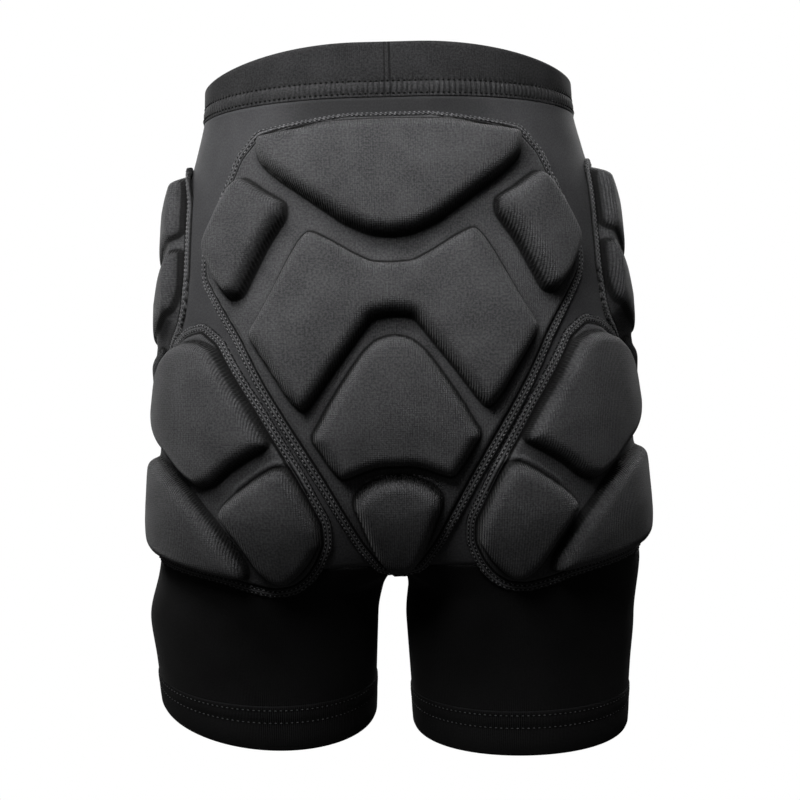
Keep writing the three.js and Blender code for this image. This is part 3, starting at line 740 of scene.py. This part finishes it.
class Nodes:
    """Short way to make and join a material's nodes."""

    def __init__(self, name):
        self.material = bpy.data.materials.new(name)
        self.material.use_nodes = True
        self.tree = self.material.node_tree
        self.shader = self.tree.nodes["Principled BSDF"]

    def add(self, kind, inputs=(), **settings):
        node = self.tree.nodes.new(kind)
        for key, value in settings.items():
            setattr(node, key, value)
        for key, value in dict(inputs).items():
            self.put(node.inputs[key], value)
        return node

    def put(self, socket, value):
        if isinstance(value, bpy.types.NodeSocket):
            self.tree.links.new(value, socket)
        else:
            socket.default_value = value

    def math(self, operation, *values):
        node = self.add("ShaderNodeMath", operation=operation)
        for k, value in enumerate(values):
            self.put(node.inputs[k], value)
        return node.outputs[0]

    def total(self, values):
        first, *rest = values
        for value in rest:
            first = self.math("ADD", first, value)
        return first

    def noise(self, place, scale, detail):
        inputs = {"Vector": place, "Scale": scale, "Detail": detail}
        return self.add("ShaderNodeTexNoise", inputs).outputs["Fac"]

    def waves(self, place, spacing, distortion, detail, direction):
        """Bands across a place, at a spacing in millimetres."""
        scale = math.pi / 10 / (spacing * MM)
        inputs = {"Vector": place, "Scale": scale, "Distortion": distortion, "Detail": detail}
        return self.add("ShaderNodeTexWave", inputs, bands_direction=direction).outputs["Fac"]

    def object_place(self):
        return self.add("ShaderNodeTexCoord").outputs["Object"]

    def parts(self, place):
        return self.add("ShaderNodeSeparateXYZ", {"Vector": place}).outputs

    def attribute(self, name):
        return self.add("ShaderNodeAttribute", attribute_name=name).outputs["Fac"]

    def cloth_map(self):
        return self.add("ShaderNodeUVMap", uv_map="cloth").outputs["UV"]

    def band(self, value, low, high):
        """A soft step of a value from 0 at low to 1 at high, which may be the lesser one."""
        node = self.add("ShaderNodeMapRange", interpolation_type="SMOOTHSTEP")
        self.put(node.inputs["Value"], value)
        self.put(node.inputs["From Min"], low)
        self.put(node.inputs["From Max"], high)
        return node.outputs["Result"]

    def line(self, value, centre, half_width):
        """1 on a thin line where the value is near its centre, and 0 away from it."""
        away = self.math("ABSOLUTE", self.math("SUBTRACT", value, centre))
        return self.math("SUBTRACT", 1.0, self.band(away, half_width * 0.4, half_width))


def knit_height(n, rib, loop, fibre_share):
    """Relief of a ribbed knit: wales up the cloth, small loops across them, loose fibres."""
    uv = n.cloth_map()
    wobble = n.noise(uv, 45.0, 3.0)
    ribs = n.waves(uv, rib, 0.8, 1.0, "X")
    loops = n.waves(uv, loop, 1.5, 1.0, "Y")
    fibres = n.noise(uv, 700.0, 3.0)
    pattern = n.math("MULTIPLY_ADD", loops, 0.3, ribs)
    pattern = n.math("MULTIPLY_ADD", fibres, fibre_share, pattern)
    return pattern, wobble, fibres


def cloth_colour(n, tones, wobble, grain):
    """Cloth colour that varies slowly over the piece and strongly from loop to loop."""
    dark, light = tones
    fine = n.band(grain, 0.32, 0.68)
    slow = n.band(wobble, 0.3, 0.7)
    share = n.math("MULTIPLY_ADD", slow, 0.3, n.math("MULTIPLY", fine, 0.7))
    mix = n.add("ShaderNodeMix", {"Factor": share}, data_type="RGBA")
    n.put(mix.inputs[6], (*dark, 1))
    n.put(mix.inputs[7], (*light, 1))
    return mix.outputs[2]


def shaded(n, colour, amount, share):
    """A colour brought to a share of itself where the amount is 1; a share over 1 lightens."""
    factor = n.math("SUBTRACT", 1.0, n.math("MULTIPLY", amount, 1 - share))
    scale = n.add("ShaderNodeVectorMath", operation="SCALE")
    n.put(scale.inputs[0], colour)
    n.put(scale.inputs["Scale"], factor)
    return scale.outputs[0]


def finish_cloth(n, colour, heights, roughness, sheen):
    """Joins colour and relief to the shader; heights are (height, strength, distance)."""
    normal = None
    for height, strength, distance in heights:
        bump = n.add("ShaderNodeBump", {"Height": height, "Distance": distance})
        n.put(bump.inputs["Strength"], strength)
        if normal is not None:
            n.put(bump.inputs["Normal"], normal)
        normal = bump.outputs["Normal"]
    n.put(n.shader.inputs["Base Color"], colour)
    n.put(n.shader.inputs["Normal"], normal)
    n.shader.inputs["Roughness"].default_value = roughness
    n.shader.inputs["Specular IOR Level"].default_value = 0.15
    n.shader.inputs["Sheen Weight"].default_value = sheen
    n.shader.inputs["Sheen Roughness"].default_value = 0.45
    return n.material


def pad_cloth():
    """Charcoal ribbed knit, moulded over the foam and stitched down on the flange."""
    n = Nodes("pad_cloth")
    uv = n.cloth_map()
    pattern, wobble, fibres = knit_height(n, *PAD_KNIT)
    level = n.parts(uv)["Y"]
    edge = n.attribute("flange_edge")
    lobe = n.attribute("lobe_edge")
    grooves = n.total(n.line(edge, row, 0.8) for row in STITCH_ROWS)
    flange_highlight = n.total(n.line(edge, *line) for line in FLANGE_HIGHLIGHT_LINES)
    flange = n.band(edge, 7.5, 5.5)
    lobe_shade = n.math("SUBTRACT", n.band(lobe, -5.0, -0.5), n.band(lobe, 0.5, 5.5))
    colour = cloth_colour(n, PAD_TONES, wobble, fibres)
    # painted shade in the grooves of the stitch rows
    colour = shaded(n, colour, grooves, GROOVE_SHADE_SHARE)
    # painted shadow along the flange's outer edge
    colour = shaded(n, colour, n.band(edge, 0.9, 0.2), RIM_SHADOW_SHARE)
    # painted shade in the crease between the flange and the field
    colour = shaded(n, colour, n.line(edge, FLANGE_WIDTH, 1.5), CREASE_SHADE_SHARE)
    # painted shade along the crease at each lobe's foot
    colour = shaded(n, colour, n.line(lobe, -0.2, 2.2), LOBE_FOOT_SHADE_SHARE)
    # painted shade on the channel and the lower wall round each lobe's foot
    colour = shaded(n, colour, lobe_shade, LOBE_WALL_SHADE_SHARE)
    colour = shaded(n, colour, flange, FLANGE_SHARE)
    # painted highlights along the flange's rolled edge and its raised ridges
    colour = shaded(n, colour, flange_highlight, FLANGE_HIGHLIGHT_SHARE)
    # painted shade, darker towards the pads' lower ends
    colour = shaded(n, colour, n.band(level, -0.25, -0.36), LOW_SHADE_SHARE)
    stretched = n.math("SUBTRACT", n.band(lobe, -1.0, 1.0), n.band(lobe, 5.0, 12.0))
    rib_strength = n.math("MULTIPLY_ADD", stretched, 0.5, 0.4)
    pucker_strength = n.math("MULTIPLY", flange, 0.7)
    heights = [(pattern, rib_strength, 0.0005), (n.noise(uv, 330.0, 1.0), pucker_strength, 0.001)]
    return finish_cloth(n, colour, heights, 0.85, 0.1)


def leg_cloth():
    """Black stretch knit of the legs, with soft slack folds."""
    n = Nodes("leg_cloth")
    pattern, wobble, fibres = knit_height(n, *LEG_KNIT)
    folds = n.noise(n.object_place(), 16.0, 1.0)
    colour = cloth_colour(n, LEG_TONES, wobble, fibres)
    return finish_cloth(n, colour, [(folds, 0.5, 0.006), (pattern, 0.3, 0.0003)], 0.85, 0.02)


def seat_cloth():
    """Charcoal stretch knit, with painted shade on it just under the waistband at the centre back."""
    n = Nodes("seat_cloth")
    pattern, wobble, fibres = knit_height(n, *SEAT_KNIT)
    x, y, z = n.parts(n.object_place())
    middle = n.band(n.math("ABSOLUTE", x), 0.095, 0.045)
    back = n.band(y, 0.0, -0.03)
    # painted shade just under the waistband at the centre back
    shade_under_band = n.math("MULTIPLY", n.math("MULTIPLY", middle, back), n.band(z, -0.04, -0.015))
    colour = cloth_colour(n, SEAT_TONES, wobble, fibres)
    colour = shaded(n, colour, shade_under_band, 0.4)
    return finish_cloth(n, colour, [(pattern, 0.2, 0.0003)], 0.8, 0.05)


def band_cloth():
    """Dark elastic of the waistband, puckered between its rows of stitches, with painted shade in the
    rows' grooves and beside the back seam's ridge, and a painted highlight on the raised elastic
    between the rows.
    """
    n = Nodes("band_cloth")
    pattern, wobble, fibres = knit_height(n, *BAND_KNIT)
    uv = n.cloth_map()
    level = n.parts(uv)["Y"]
    seam = n.attribute("back_seam")
    rows = n.total(n.line(level, row * MM, 1.1 * MM) for row in BAND_ROWS)
    between = n.line(level, sum(BAND_ROWS) / 2 * MM, 9 * MM)
    colour = cloth_colour(n, BAND_TONES, wobble, fibres)
    # painted shade in the grooves of the two stitch rows
    colour = shaded(n, colour, rows, 0.8)
    # painted highlight on the raised elastic between the rows
    colour = shaded(n, colour, between, 1.35)
    # painted shade along both sides of the centre back seam's ridge
    colour = shaded(n, colour, n.line(seam, 1.9, 0.7), 0.4)
    puckers = n.waves(uv, BAND_PUCKERS, 2.5, 2.0, "X")
    heights = [
        (pattern, 0.3, 0.0004),
        (puckers, n.math("MULTIPLY", between, 0.7), 0.0012),
        (n.line(seam, 0.0, 1.8), 0.8, 0.0008),
    ]
    return finish_cloth(n, colour, heights, 0.9, 0.03)


def hem_cloth():
    """Black leg cloth with the two stitched grooves of a hem, and painted shade in those grooves."""
    n = Nodes("hem_cloth")
    pattern, wobble, fibres = knit_height(n, *HEM_KNIT)
    rise = n.attribute("hem_rise")
    rows = n.total(n.line(rise, row, 1.0) for row in HEM_ROWS)
    # painted shade in the hem's two stitched grooves
    colour = shaded(n, cloth_colour(n, HEM_TONES, wobble, fibres), rows, 0.2)
    return finish_cloth(n, colour, [(pattern, 0.3, 0.0004)], 0.9, 0.01)


def thread(name, tones):
    n = Nodes(name)
    grain = n.noise(n.object_place(), 900.0, 2.0)
    colour = cloth_colour(n, tones, grain, grain)
    return finish_cloth(n, colour, [(grain, 0.3, 0.0002)], 0.8, 0.05)


def paper():
    """White paper of the floor, which glows so that it is as white as the background."""
    n = Nodes("paper")
    colour = cloth_colour(n, PAPER_TONES, n.noise(n.object_place(), 3.0, 2.0), 0.5)
    n.put(n.shader.inputs["Base Color"], colour)
    n.shader.inputs["Roughness"].default_value = 0.9
    n.shader.inputs["Emission Color"].default_value = (1, 1, 1, 1)
    n.shader.inputs["Emission Strength"].default_value = FLOOR_GLOW
    return n.material


# Stitches


def offset_outline(outline, inset):
    """An outline moved inwards by an inset, which may differ from point to point."""
    along = np.roll(outline, -1, axis=0) - np.roll(outline, 1, axis=0)
    inward = np.stack([along[:, 1], -along[:, 0]], axis=-1)
    inward /= np.linalg.norm(inward, axis=1)[:, None]
    x, y = outline.T
    area = np.sum(x * np.roll(y, -1) - y * np.roll(x, -1))
    if area > 0:
        inward = -inward
    return outline + inward * np.reshape(inset, (-1, 1))


def stitch_tree():
    """Geometry nodes that lay short stitches along paths, turned to the cloth."""
    tree = bpy.data.node_groups.new("stitch_rows", "GeometryNodeTree")
    face = tree.interface
    face.new_socket("Geometry", in_out="INPUT", socket_type="NodeSocketGeometry")
    for name in ("Pitch", "Length", "Thickness"):
        face.new_socket(name, in_out="INPUT", socket_type="NodeSocketFloat")
    face.new_socket("Thread", in_out="INPUT", socket_type="NodeSocketMaterial")
    face.new_socket("Geometry", in_out="OUTPUT", socket_type="NodeSocketGeometry")
    new, join = tree.nodes.new, tree.links.new
    given, result = new("NodeGroupInput"), new("NodeGroupOutput")
    curve = new("GeometryNodeMeshToCurve")
    spaced = new("GeometryNodeResampleCurve")
    spaced.mode = "LENGTH"
    ball = new("GeometryNodeMeshUVSphere")
    ball.inputs["Segments"].default_value = 6
    ball.inputs["Rings"].default_value = 4
    ball.inputs["Radius"].default_value = 0.5
    size = new("ShaderNodeCombineXYZ")
    along = new("FunctionNodeAlignRotationToVector")
    along.axis = "X"
    outward = new("FunctionNodeAlignRotationToVector")
    outward.axis = "Z"
    outward.pivot_axis = "X"
    tangent = new("GeometryNodeInputTangent")
    facing = new("GeometryNodeInputNamedAttribute")
    facing.data_type = "FLOAT_VECTOR"
    facing.inputs["Name"].default_value = "outward"
    place = new("GeometryNodeInstanceOnPoints")
    real = new("GeometryNodeRealizeInstances")
    paint = new("GeometryNodeSetMaterial")
    join(given.outputs["Geometry"], curve.inputs["Mesh"])
    join(curve.outputs["Curve"], spaced.inputs["Curve"])
    join(given.outputs["Pitch"], spaced.inputs["Length"])
    join(spaced.outputs["Curve"], place.inputs["Points"])
    join(ball.outputs["Mesh"], place.inputs["Instance"])
    join(tangent.outputs["Tangent"], along.inputs["Vector"])
    join(along.outputs["Rotation"], outward.inputs["Rotation"])
    join(facing.outputs["Attribute"], outward.inputs["Vector"])
    join(outward.outputs["Rotation"], place.inputs["Rotation"])
    join(given.outputs["Length"], size.inputs["X"])
    join(given.outputs["Thickness"], size.inputs["Y"])
    join(given.outputs["Thickness"], size.inputs["Z"])
    join(size.outputs["Vector"], place.inputs["Scale"])
    join(place.outputs["Instances"], real.inputs["Geometry"])
    join(real.outputs["Geometry"], paint.inputs["Geometry"])
    join(given.outputs["Thread"], paint.inputs["Material"])
    join(paint.outputs["Geometry"], result.inputs["Geometry"])
    return tree


def stitches(name, tree, paths, sizes, material):
    """Stitches along closed paths; each path is its points and the cloth's outward directions."""
    pitch, length, thick = sizes
    points = np.concatenate([p for p, _ in paths])
    facing = np.concatenate([f for _, f in paths])
    edges, start = [], 0
    for p, _ in paths:
        count = len(p)
        edges += [(start + k, start + (k + 1) % count) for k in range(count)]
        start += count
    mesh = bpy.data.meshes.new(name)
    mesh.from_pydata((points * MM).tolist(), edges, [])
    layer = mesh.attributes.new("outward", "FLOAT_VECTOR", "POINT")
    layer.data.foreach_set("vector", facing.astype(np.float32).ravel())
    rows = bpy.data.objects.new(name + "_rows", mesh)
    bpy.context.collection.objects.link(rows)
    modifier = rows.modifiers.new("stitches", "NODES")
    modifier.node_group = tree
    values = {"Pitch": pitch * MM, "Length": length * MM, "Thickness": thick * MM, "Thread": material}
    for item in tree.interface.items_tree:
        if item.in_out == "INPUT" and item.name in values:
            modifier[item.identifier] = values[item.name]
    bpy.context.view_layer.update()
    graph = bpy.context.evaluated_depsgraph_get()
    made = bpy.data.meshes.new_from_object(rows.evaluated_get(graph))
    bpy.data.objects.remove(rows)
    made.name = name
    piece = bpy.data.objects.new(name, made)
    bpy.context.collection.objects.link(piece)
    return piece


def flange_paths(pad, outline, narrow_above=None):
    """The stitch rows of a pad's flange."""
    paths = []
    for row in STITCH_ROWS:
        flat = offset_outline(outline, row / narrowing(narrow_above, outline[:, 1]))
        lift = PAD_BASE + FLANGE_THICK - STITCH_SINK + stand_off(pad, flat)
        paths.append(SURFACE.points(flat[:, 0], flat[:, 1], lift))
    return paths


# Waistband

BAND_COLUMNS = 360
BAND_ROWS = (3.6, -5.2)  # the two rows of stitches, above the origin
BAND_STITCH_LIFT = 0.55

# Profile of the waistband: rise above its foot, share of the rest of its height, and how far
# it stands out from the body
BAND_PROFILE = [
    (0.0, 0, 0.05),
    (0.6, 0, 0.5),
    (1.8, 0, 0.7),
    (2.8, 0, 0.3),
    (3.9, 0, 0.8),
    (6.0, 0, 1.35),
    (8.0, 0, 1.5),
    (10.0, 0, 1.2),
    (11.6, 0, 0.45),
    (12.8, 0, 0.95),
    (14.0, 0, 1.2),
    (14.0, 0.3, 1.3),
    (14.0, 0.6, 1.25),
    (14.0, 0.85, 1.2),
    (14.0, 0.95, 1.0),
    (14.0, 0.99, 0.5),
    (14.0, 1.0, -0.1),
    (14.0, 1.0, -0.9),
    (14.0, 0.985, -1.6),
    (14.0, 0.9, -2.0),
    (14.0, 0.5, -2.0),
    (10.0, 0, -2.0),
    (2.0, 0, -2.0),
    (0.0, 0, -1.6),
    (0.0, 0, -0.7),
]


def band_top(y, back):
    return BAND_TOP_AT_SIDE + BACK_RISE * np.maximum(0, -y / back) ** 2


def band_ring(rise, share, out):
    """One ring of the waistband."""
    guess = -BAND_FOOT + rise + share * (BAND_TOP_AT_SIDE + BAND_FOOT - rise)
    ring = whole_section(guess, BAND_COLUMNS, -out)
    top = band_top(ring[:, 1], form_at(guess)[1])
    level = -BAND_FOOT + rise + share * (top + BAND_FOOT - rise)
    return np.column_stack([ring, level])


def make_waistband(material):
    rings = [band_ring(*row) for row in BAND_PROFILE]
    mesh = ring_mesh("waistband_cloth", rings, round_length(0.0))
    places = np.array(rings).reshape(-1, 3)
    add_attribute(mesh, "back_seam", np.where(places[:, 1] < 0, np.abs(places[:, 0]), 50))
    piece = link("waistband_cloth", mesh, material)
    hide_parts("waistband")
    return piece


def level_path(level, lift):
    """A row of stitches round the body at one level, a little off it."""
    points = at_level(whole_section(level, BAND_COLUMNS, -lift), level)
    outward = whole_section(level, BAND_COLUMNS, -1) - whole_section(level, BAND_COLUMNS)
    return points, at_level(outward, 0)


# Seat and legs

SEAM_LEVEL = -335  # seam between the seat and the legs, under the pads
SEAT_TOP = -BAND_FOOT + 0.6
HIP_LEVEL = -204
LEG_MIDDLE_LEVEL = -400
LEGS_APART = 0.25  # half the space between the legs at the crotch seam
SEAT_COLUMNS = 240
SEAT_ROWS = 110
LEG_INNER = 80  # points round the inside of a leg
LEG_ROWS = 44
CROTCH_TURN = 24  # drop over which a leg turns from the crotch seam to its round section
LEG_SWAY = -7  # how far both legs hang to one side at the hems
LEG_HANG = 45  # drop over which that sway comes in

# Hem of the left leg (-1) and of the right one (1): how far its back dips, how far its front
# rises, how far down the whole hem has slipped, and how much higher its outer side is than
# its middle
HEM_HANG = {-1: (21, 21, -4, 9), 1: (12, 22, 14, 0)}
UNDER_HEM = 0.93  # share of the hem's height at which the leg cloth ends inside it
CLOTH = 1.6


def make_seat(material):
    levels = np.linspace(SEAM_LEVEL + 0.2, SEAT_TOP, SEAT_ROWS)
    outer = [at_level(whole_section(level, SEAT_COLUMNS), level) for level in levels]
    inner = [at_level(whole_section(level, SEAT_COLUMNS, CLOTH), level) for level in levels[::-1]]
    mesh = ring_mesh("seat_cloth", outer + inner, round_length(HIP_LEVEL))
    piece = link("seat_cloth", mesh, material)
    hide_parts("seat")
    return piece


def leg_loop(level, inset):
    """Section of the right leg: its outer half, then the inner half back to the start."""
    wide, back, front, flat, _ = form_at(level)
    share = np.clip((-CROTCH_DROP - level) / LEG_LENGTH, 0, 1)
    inner_edge = (LEG_GAP_AT_CROTCH * (1 - share) + LEG_GAP_AT_HEM * share) / 2
    turn = np.linspace(0, math.pi, SEAT_COLUMNS // 2 + 1)
    depth = np.where(turn < math.pi / 2, back, front) - inset
    outer = np.column_stack([flat + (wide - flat - inset) * np.sin(turn), -depth * np.cos(turn)])
    turn = np.linspace(math.pi, 2 * math.pi, LEG_INNER + 2)[1:-1]
    depth = np.where(turn < 1.5 * math.pi, front, back) - inset
    inner = np.column_stack([flat + (flat - inner_edge - inset) * np.sin(turn), -depth * np.cos(turn)])
    return np.concatenate([outer, inner])


def crotch_loop(level, inset):
    """The leg's section where it leaves the seat: straight along the crotch seam inside."""
    wide, back, front, flat, cleft = form_at(level)
    turn = np.linspace(0, math.pi, SEAT_COLUMNS // 2 + 1)
    depth = np.where(turn < math.pi / 2, back, front) - inset
    x = flat + (wide - flat - inset) * np.sin(turn)
    dent = np.where(turn < math.pi / 2, cleft * np.exp(-((x / CLEFT_WIDTH) ** 2)), 0)
    outer = np.column_stack([x, -depth * np.cos(turn) + dent])
    t = np.linspace(0, 1, 31)
    fx = flat * (1 - t[1:])
    front_run = np.column_stack([fx, np.full(len(fx), front - inset)])
    bx = flat * t[:-1]
    back_run = np.column_stack([bx, -(back - inset) + cleft * np.exp(-((bx / CLEFT_WIDTH) ** 2))])
    line = np.concatenate([outer[-1:], front_run, back_run, outer[:1]])
    length = np.concatenate([[0], np.cumsum(np.hypot(*np.diff(line, axis=0).T))])
    at = np.linspace(0, length[-1], LEG_INNER + 2)[1:-1]
    inner = np.column_stack([np.interp(at, length, line[:, k]) for k in (0, 1)])
    inner[:, 0] = np.maximum(inner[:, 0], LEGS_APART + inset)
    return np.concatenate([outer, inner])


def leg_ring(side, share, inset):
    """One ring of a leg; the share runs from the crotch to the hem's lower edge."""
    level = -CROTCH_DROP - LEG_LENGTH * share
    turned = smoothstep(0, CROTCH_TURN, SEAM_LEVEL - level)
    seam = crotch_loop(max(level, SEAM_LEVEL - CROTCH_TURN), inset)
    flat = seam * (1 - turned) + leg_loop(level, inset) * turned
    wide, back, _, middle, _ = form_at(level)
    dip, rise, slip, lean = HEM_HANG[side]
    ahead = flat[:, 1] / back
    tilt = (rise + dip) / 2 * ahead + (rise - dip) / 2 * ahead**2
    tilt = tilt + lean * (flat[:, 0] - middle) / (wide - middle)
    z = level + max(share, 0) ** 2 * tilt
    ring = np.column_stack([flat, z])
    if side < 0:
        ring = (ring * (-1, 1, 1))[::-1]
    hang = smoothstep(0, LEG_HANG, SEAM_LEVEL - level)
    return ring + (LEG_SWAY * hang, 0, -slip * max(share, 0))


def hem_share(rise):
    """How far down a leg a height above the hem's lower edge is, as a share."""
    return 1 - rise / LEG_LENGTH


def leg_rounds():
    """Distance round one leg."""
    loop = leg_loop(LEG_MIDDLE_LEVEL, 0)
    return np.sum(np.hypot(*(np.roll(loop, -1, axis=0) - loop).T))


def make_leg(side, name, material):
    first = (-CROTCH_DROP - SEAM_LEVEL) / LEG_LENGTH
    last = hem_share(UNDER_HEM * HEM_HEIGHT)
    shares = np.linspace(last, first, LEG_ROWS)
    outer = [leg_ring(side, share, 0.0) for share in shares]
    inner = [leg_ring(side, share, CLOTH) for share in shares[::-1]]
    mesh = ring_mesh(name + "_leg_cloth", outer + inner, leg_rounds())
    piece = link(name + "_leg_cloth", mesh, material)
    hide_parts(name + "_leg")
    return piece


HEM_ROWS = (14.8, 21.6)  # the two rows of stitches, above the hem's lower edge
HEM_STITCH_LIFT = 0.6

# Profile of a hem: height above its lower edge, and how far it stands out from the leg
HEM_PROFILE = [
    (0.0, -0.4),
    (0.1, 0.4),
    (1.2, 0.9),
    (7.0, 1.0),
    (13.0, 0.9),
    (14.8, 0.4),
    (16.5, 0.95),
    (20.0, 1.0),
    (21.6, 0.45),
    (23.0, 0.8),
    (24.0, 0.1),
    (23.5, -1.9),
    (12.0, -2.1),
    (1.5, -2.1),
    (0.1, -1.5),
]


def make_hem(side, name, material):
    rings = [leg_ring(side, hem_share(rise), -out) for rise, out in HEM_PROFILE]
    mesh = ring_mesh(name + "_hem_cloth", rings, leg_rounds())
    rises = [rise if out > 0 else 0 for rise, out in HEM_PROFILE]
    add_attribute(mesh, "hem_rise", np.repeat(rises, len(rings[0])))
    piece = link(name + "_hem_cloth", mesh, material)
    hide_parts(name + "_hem")
    return piece


def hem_path(side, rise):
    """A row of stitches round a hem, a little off it."""
    share = hem_share(rise)
    points = leg_ring(side, share, -HEM_STITCH_LIFT)
    return points, points - leg_ring(side, share, 1 - HEM_STITCH_LIFT)


# Stage

FLOOR_LEVEL = -1.4
FLOOR_RADIUS = 2.2
FLOOR_SIDES = 48
FLOOR_GLOW = 0.75


def make_floor():
    """A plain white floor well below the shorts, which throws no light back up at them."""
    mesh = bpy.data.meshes.new("floor")
    turns = np.linspace(0, 2 * math.pi, FLOOR_SIDES, endpoint=False)
    corners = [(math.cos(a) * FLOOR_RADIUS, math.sin(a) * FLOOR_RADIUS, FLOOR_LEVEL) for a in turns]
    mesh.from_pydata(corners, [], [list(range(FLOOR_SIDES))])
    floor = link("floor", mesh, paper())
    floor.visible_diffuse = False
    floor.visible_glossy = False


CAMERA_PLACE = (0.003, -1.1, -0.219)
CAMERA_ROLL = math.radians(1.5)
PICTURE_WIDTH = 800
FOCAL_PIXELS = 1440  # focal length in pixels of a picture that wide
SENSOR = 36


def make_camera():
    lens = bpy.data.cameras.new("camera")
    lens.sensor_width = SENSOR
    lens.lens = FOCAL_PIXELS / PICTURE_WIDTH * SENSOR
    camera = bpy.data.objects.new("camera", lens)
    bpy.context.collection.objects.link(camera)
    camera.location = CAMERA_PLACE
    camera.rotation_euler = (math.pi / 2, CAMERA_ROLL, 0)
    bpy.context.scene.camera = camera


BACKGROUND = 1.0
AMBIENT = 0.05


def make_world():
    """White all round to the camera, and a dim even light on the shorts."""
    world = bpy.data.worlds.new("studio")
    world.use_nodes = True
    tree = world.node_tree
    seen = tree.nodes["Background"]
    seen.inputs["Color"].default_value = (1, 1, 1, 1)
    seen.inputs["Strength"].default_value = BACKGROUND
    dim = tree.nodes.new("ShaderNodeBackground")
    dim.inputs["Color"].default_value = (1, 1, 1, 1)
    dim.inputs["Strength"].default_value = AMBIENT
    rays = tree.nodes.new("ShaderNodeLightPath")
    mix = tree.nodes.new("ShaderNodeMixShader")
    tree.links.new(rays.outputs["Is Camera Ray"], mix.inputs[0])
    tree.links.new(dim.outputs[0], mix.inputs[1])
    tree.links.new(seen.outputs[0], mix.inputs[2])
    tree.links.new(mix.outputs[0], tree.nodes["World Output"].inputs["Surface"])
    bpy.context.scene.world = world


# Targets of the lights
BAND_BACK = (0, -0.1, 0)
MIDDLE = (0, -0.05, -0.15)

# Soft boxes: target, angle to the right of the camera, angle of height, distance from the
# target, size, power and spread
LIGHTS = {
    "key": (BAND_BACK, -50, 46, 0.9, 0.32, 9.5, 180),
    "top": (BAND_BACK, 20, 56, 0.9, 0.32, 5.4, 180),
    "spot": (BAND_BACK, -20, 35, 1.4, 0.5, 1.4, 50),
    "front_left": (MIDDLE, -160, 32, 1.6, 0.8, 24, 180),
    "front_right": (MIDDLE, 155, 32, 1.6, 0.8, 24, 180),
}


def soft_box(name, target, azimuth, height, reach, size, power, spread):
    turn, lift = math.radians(azimuth), math.radians(height)
    level = math.cos(lift)
    away = Vector((math.sin(turn) * level, -math.cos(turn) * level, math.sin(lift)))
    lamp = bpy.data.lights.new(name, "AREA")
    lamp.size = size
    lamp.energy = power
    lamp.spread = math.radians(spread)
    light = bpy.data.objects.new(name, lamp)
    bpy.context.collection.objects.link(light)
    light.location = Vector(target) + away * reach
    light.rotation_euler = (-away).to_track_quat("-Z", "Y").to_euler()


def make_light():
    make_world()
    for name, settings in LIGHTS.items():
        soft_box(name, *settings)
    bpy.context.scene.view_settings.view_transform = "Standard"


# The shorts

make_camera()
make_floor()
make_light()

pad_knit = pad_cloth()
grey_thread = thread("grey_thread", GREY_THREAD_TONES)
stitch_nodes = stitch_tree()


def keep(piece, slot, padded=False):
    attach(piece, "root")


def mirrored(rows):
    return rows[::-1] * (-1, 1, 1)


def unturned(rows):
    return rows


def make_pad(name, pad, panel, lobes, nodes, **style):
    piece, outline = quilted_pad(name, pad, panel, lobes, pad_knit, **style)
    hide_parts(*nodes)
    keep(piece, "pad_cloth", padded=True)
    rows = flange_paths(pad, outline, style.get("narrow_above"))
    keep(stitches(name + "_stitches", stitch_nodes, rows, PAD_STITCH, grey_thread), "pad_cloth")


def make_tail_pad():
    panel = both_halves(outline_rows(TAIL_PAD, TAIL_PANEL))
    middle = (TAIL_TOP, TAIL_MIDDLE, TAIL_LOWER, TAIL_TIP)
    side = outline_rows(TAIL_PAD, TAIL_SIDE)
    lobes = [both_halves(outline_rows(TAIL_PAD, table)) for table in middle]
    lobes += [side, mirrored(side)]
    names = ("panel", "lobe_top", "lobe_middle", "lobe_lower", "lobe_tip", "lobe_left", "lobe_right")
    nodes = ["tail_" + name for name in names]
    style = dict(narrow_above=NARROW_ABOVE, ridge=TAIL_RIDGE)
    make_pad("tail_pad", TAIL_PAD, panel, lobes, nodes, **style)


def make_side_pads(name, turn):
    lobes = [turn(outline_rows(THIGH_PAD, t)) for t in (THIGH_UPPER, THIGH_INNER, THIGH_OUTER)]
    nodes = [f"{name}_thigh_{n}" for n in ("panel", "lobe_upper", "lobe_inner", "lobe_outer")]
    style = dict(slim=True, ridge=THIGH_RIDGE)
    make_pad(f"{name}_thigh_pad", THIGH_PAD, turn(thigh_rows()), lobes, nodes, **style)
    lobes = [turn(outline_rows(HIP_PAD, t)) for t in (HIP_UPPER, HIP_MIDDLE, HIP_LOWER)]
    nodes = [f"{name}_hip_{n}" for n in ("panel", "lobe_upper", "lobe_middle", "lobe_lower")]
    hip = LEFT_HIP_PAD if name == "left" else HIP_PAD
    make_pad(f"{name}_hip_pad", hip, turn(hip_rows()), lobes, nodes)


waistband = make_waistband(band_cloth())
keep(waistband, "elastic")
seat = make_seat(seat_cloth())
keep(seat, "stretch_cloth")
leg_knit = leg_cloth()
hem_knit = hem_cloth()
for side, name, turn in ((-1, "left", mirrored), (1, "right", unturned)):
    leg = make_leg(side, name, leg_knit)
    keep(leg, "leg_cloth")
    hem = make_hem(side, name, hem_knit)
    keep(hem, "leg_cloth")
    make_side_pads(name, turn)
make_tail_pad()

band_paths = [level_path(level, BAND_STITCH_LIFT) for level in BAND_ROWS]
black_thread = thread("black_thread", BLACK_THREAD_TONES)
keep(stitches("waistband_stitches", stitch_nodes, band_paths, BAND_STITCH, black_thread), "elastic")
hem_paths = [hem_path(side, row) for side in (-1, 1) for row in HEM_ROWS]
hem_thread = thread("hem_thread", HEM_THREAD_TONES)
keep(stitches("hem_stitches", stitch_nodes, hem_paths, HEM_STITCH, hem_thread), "leg_cloth")
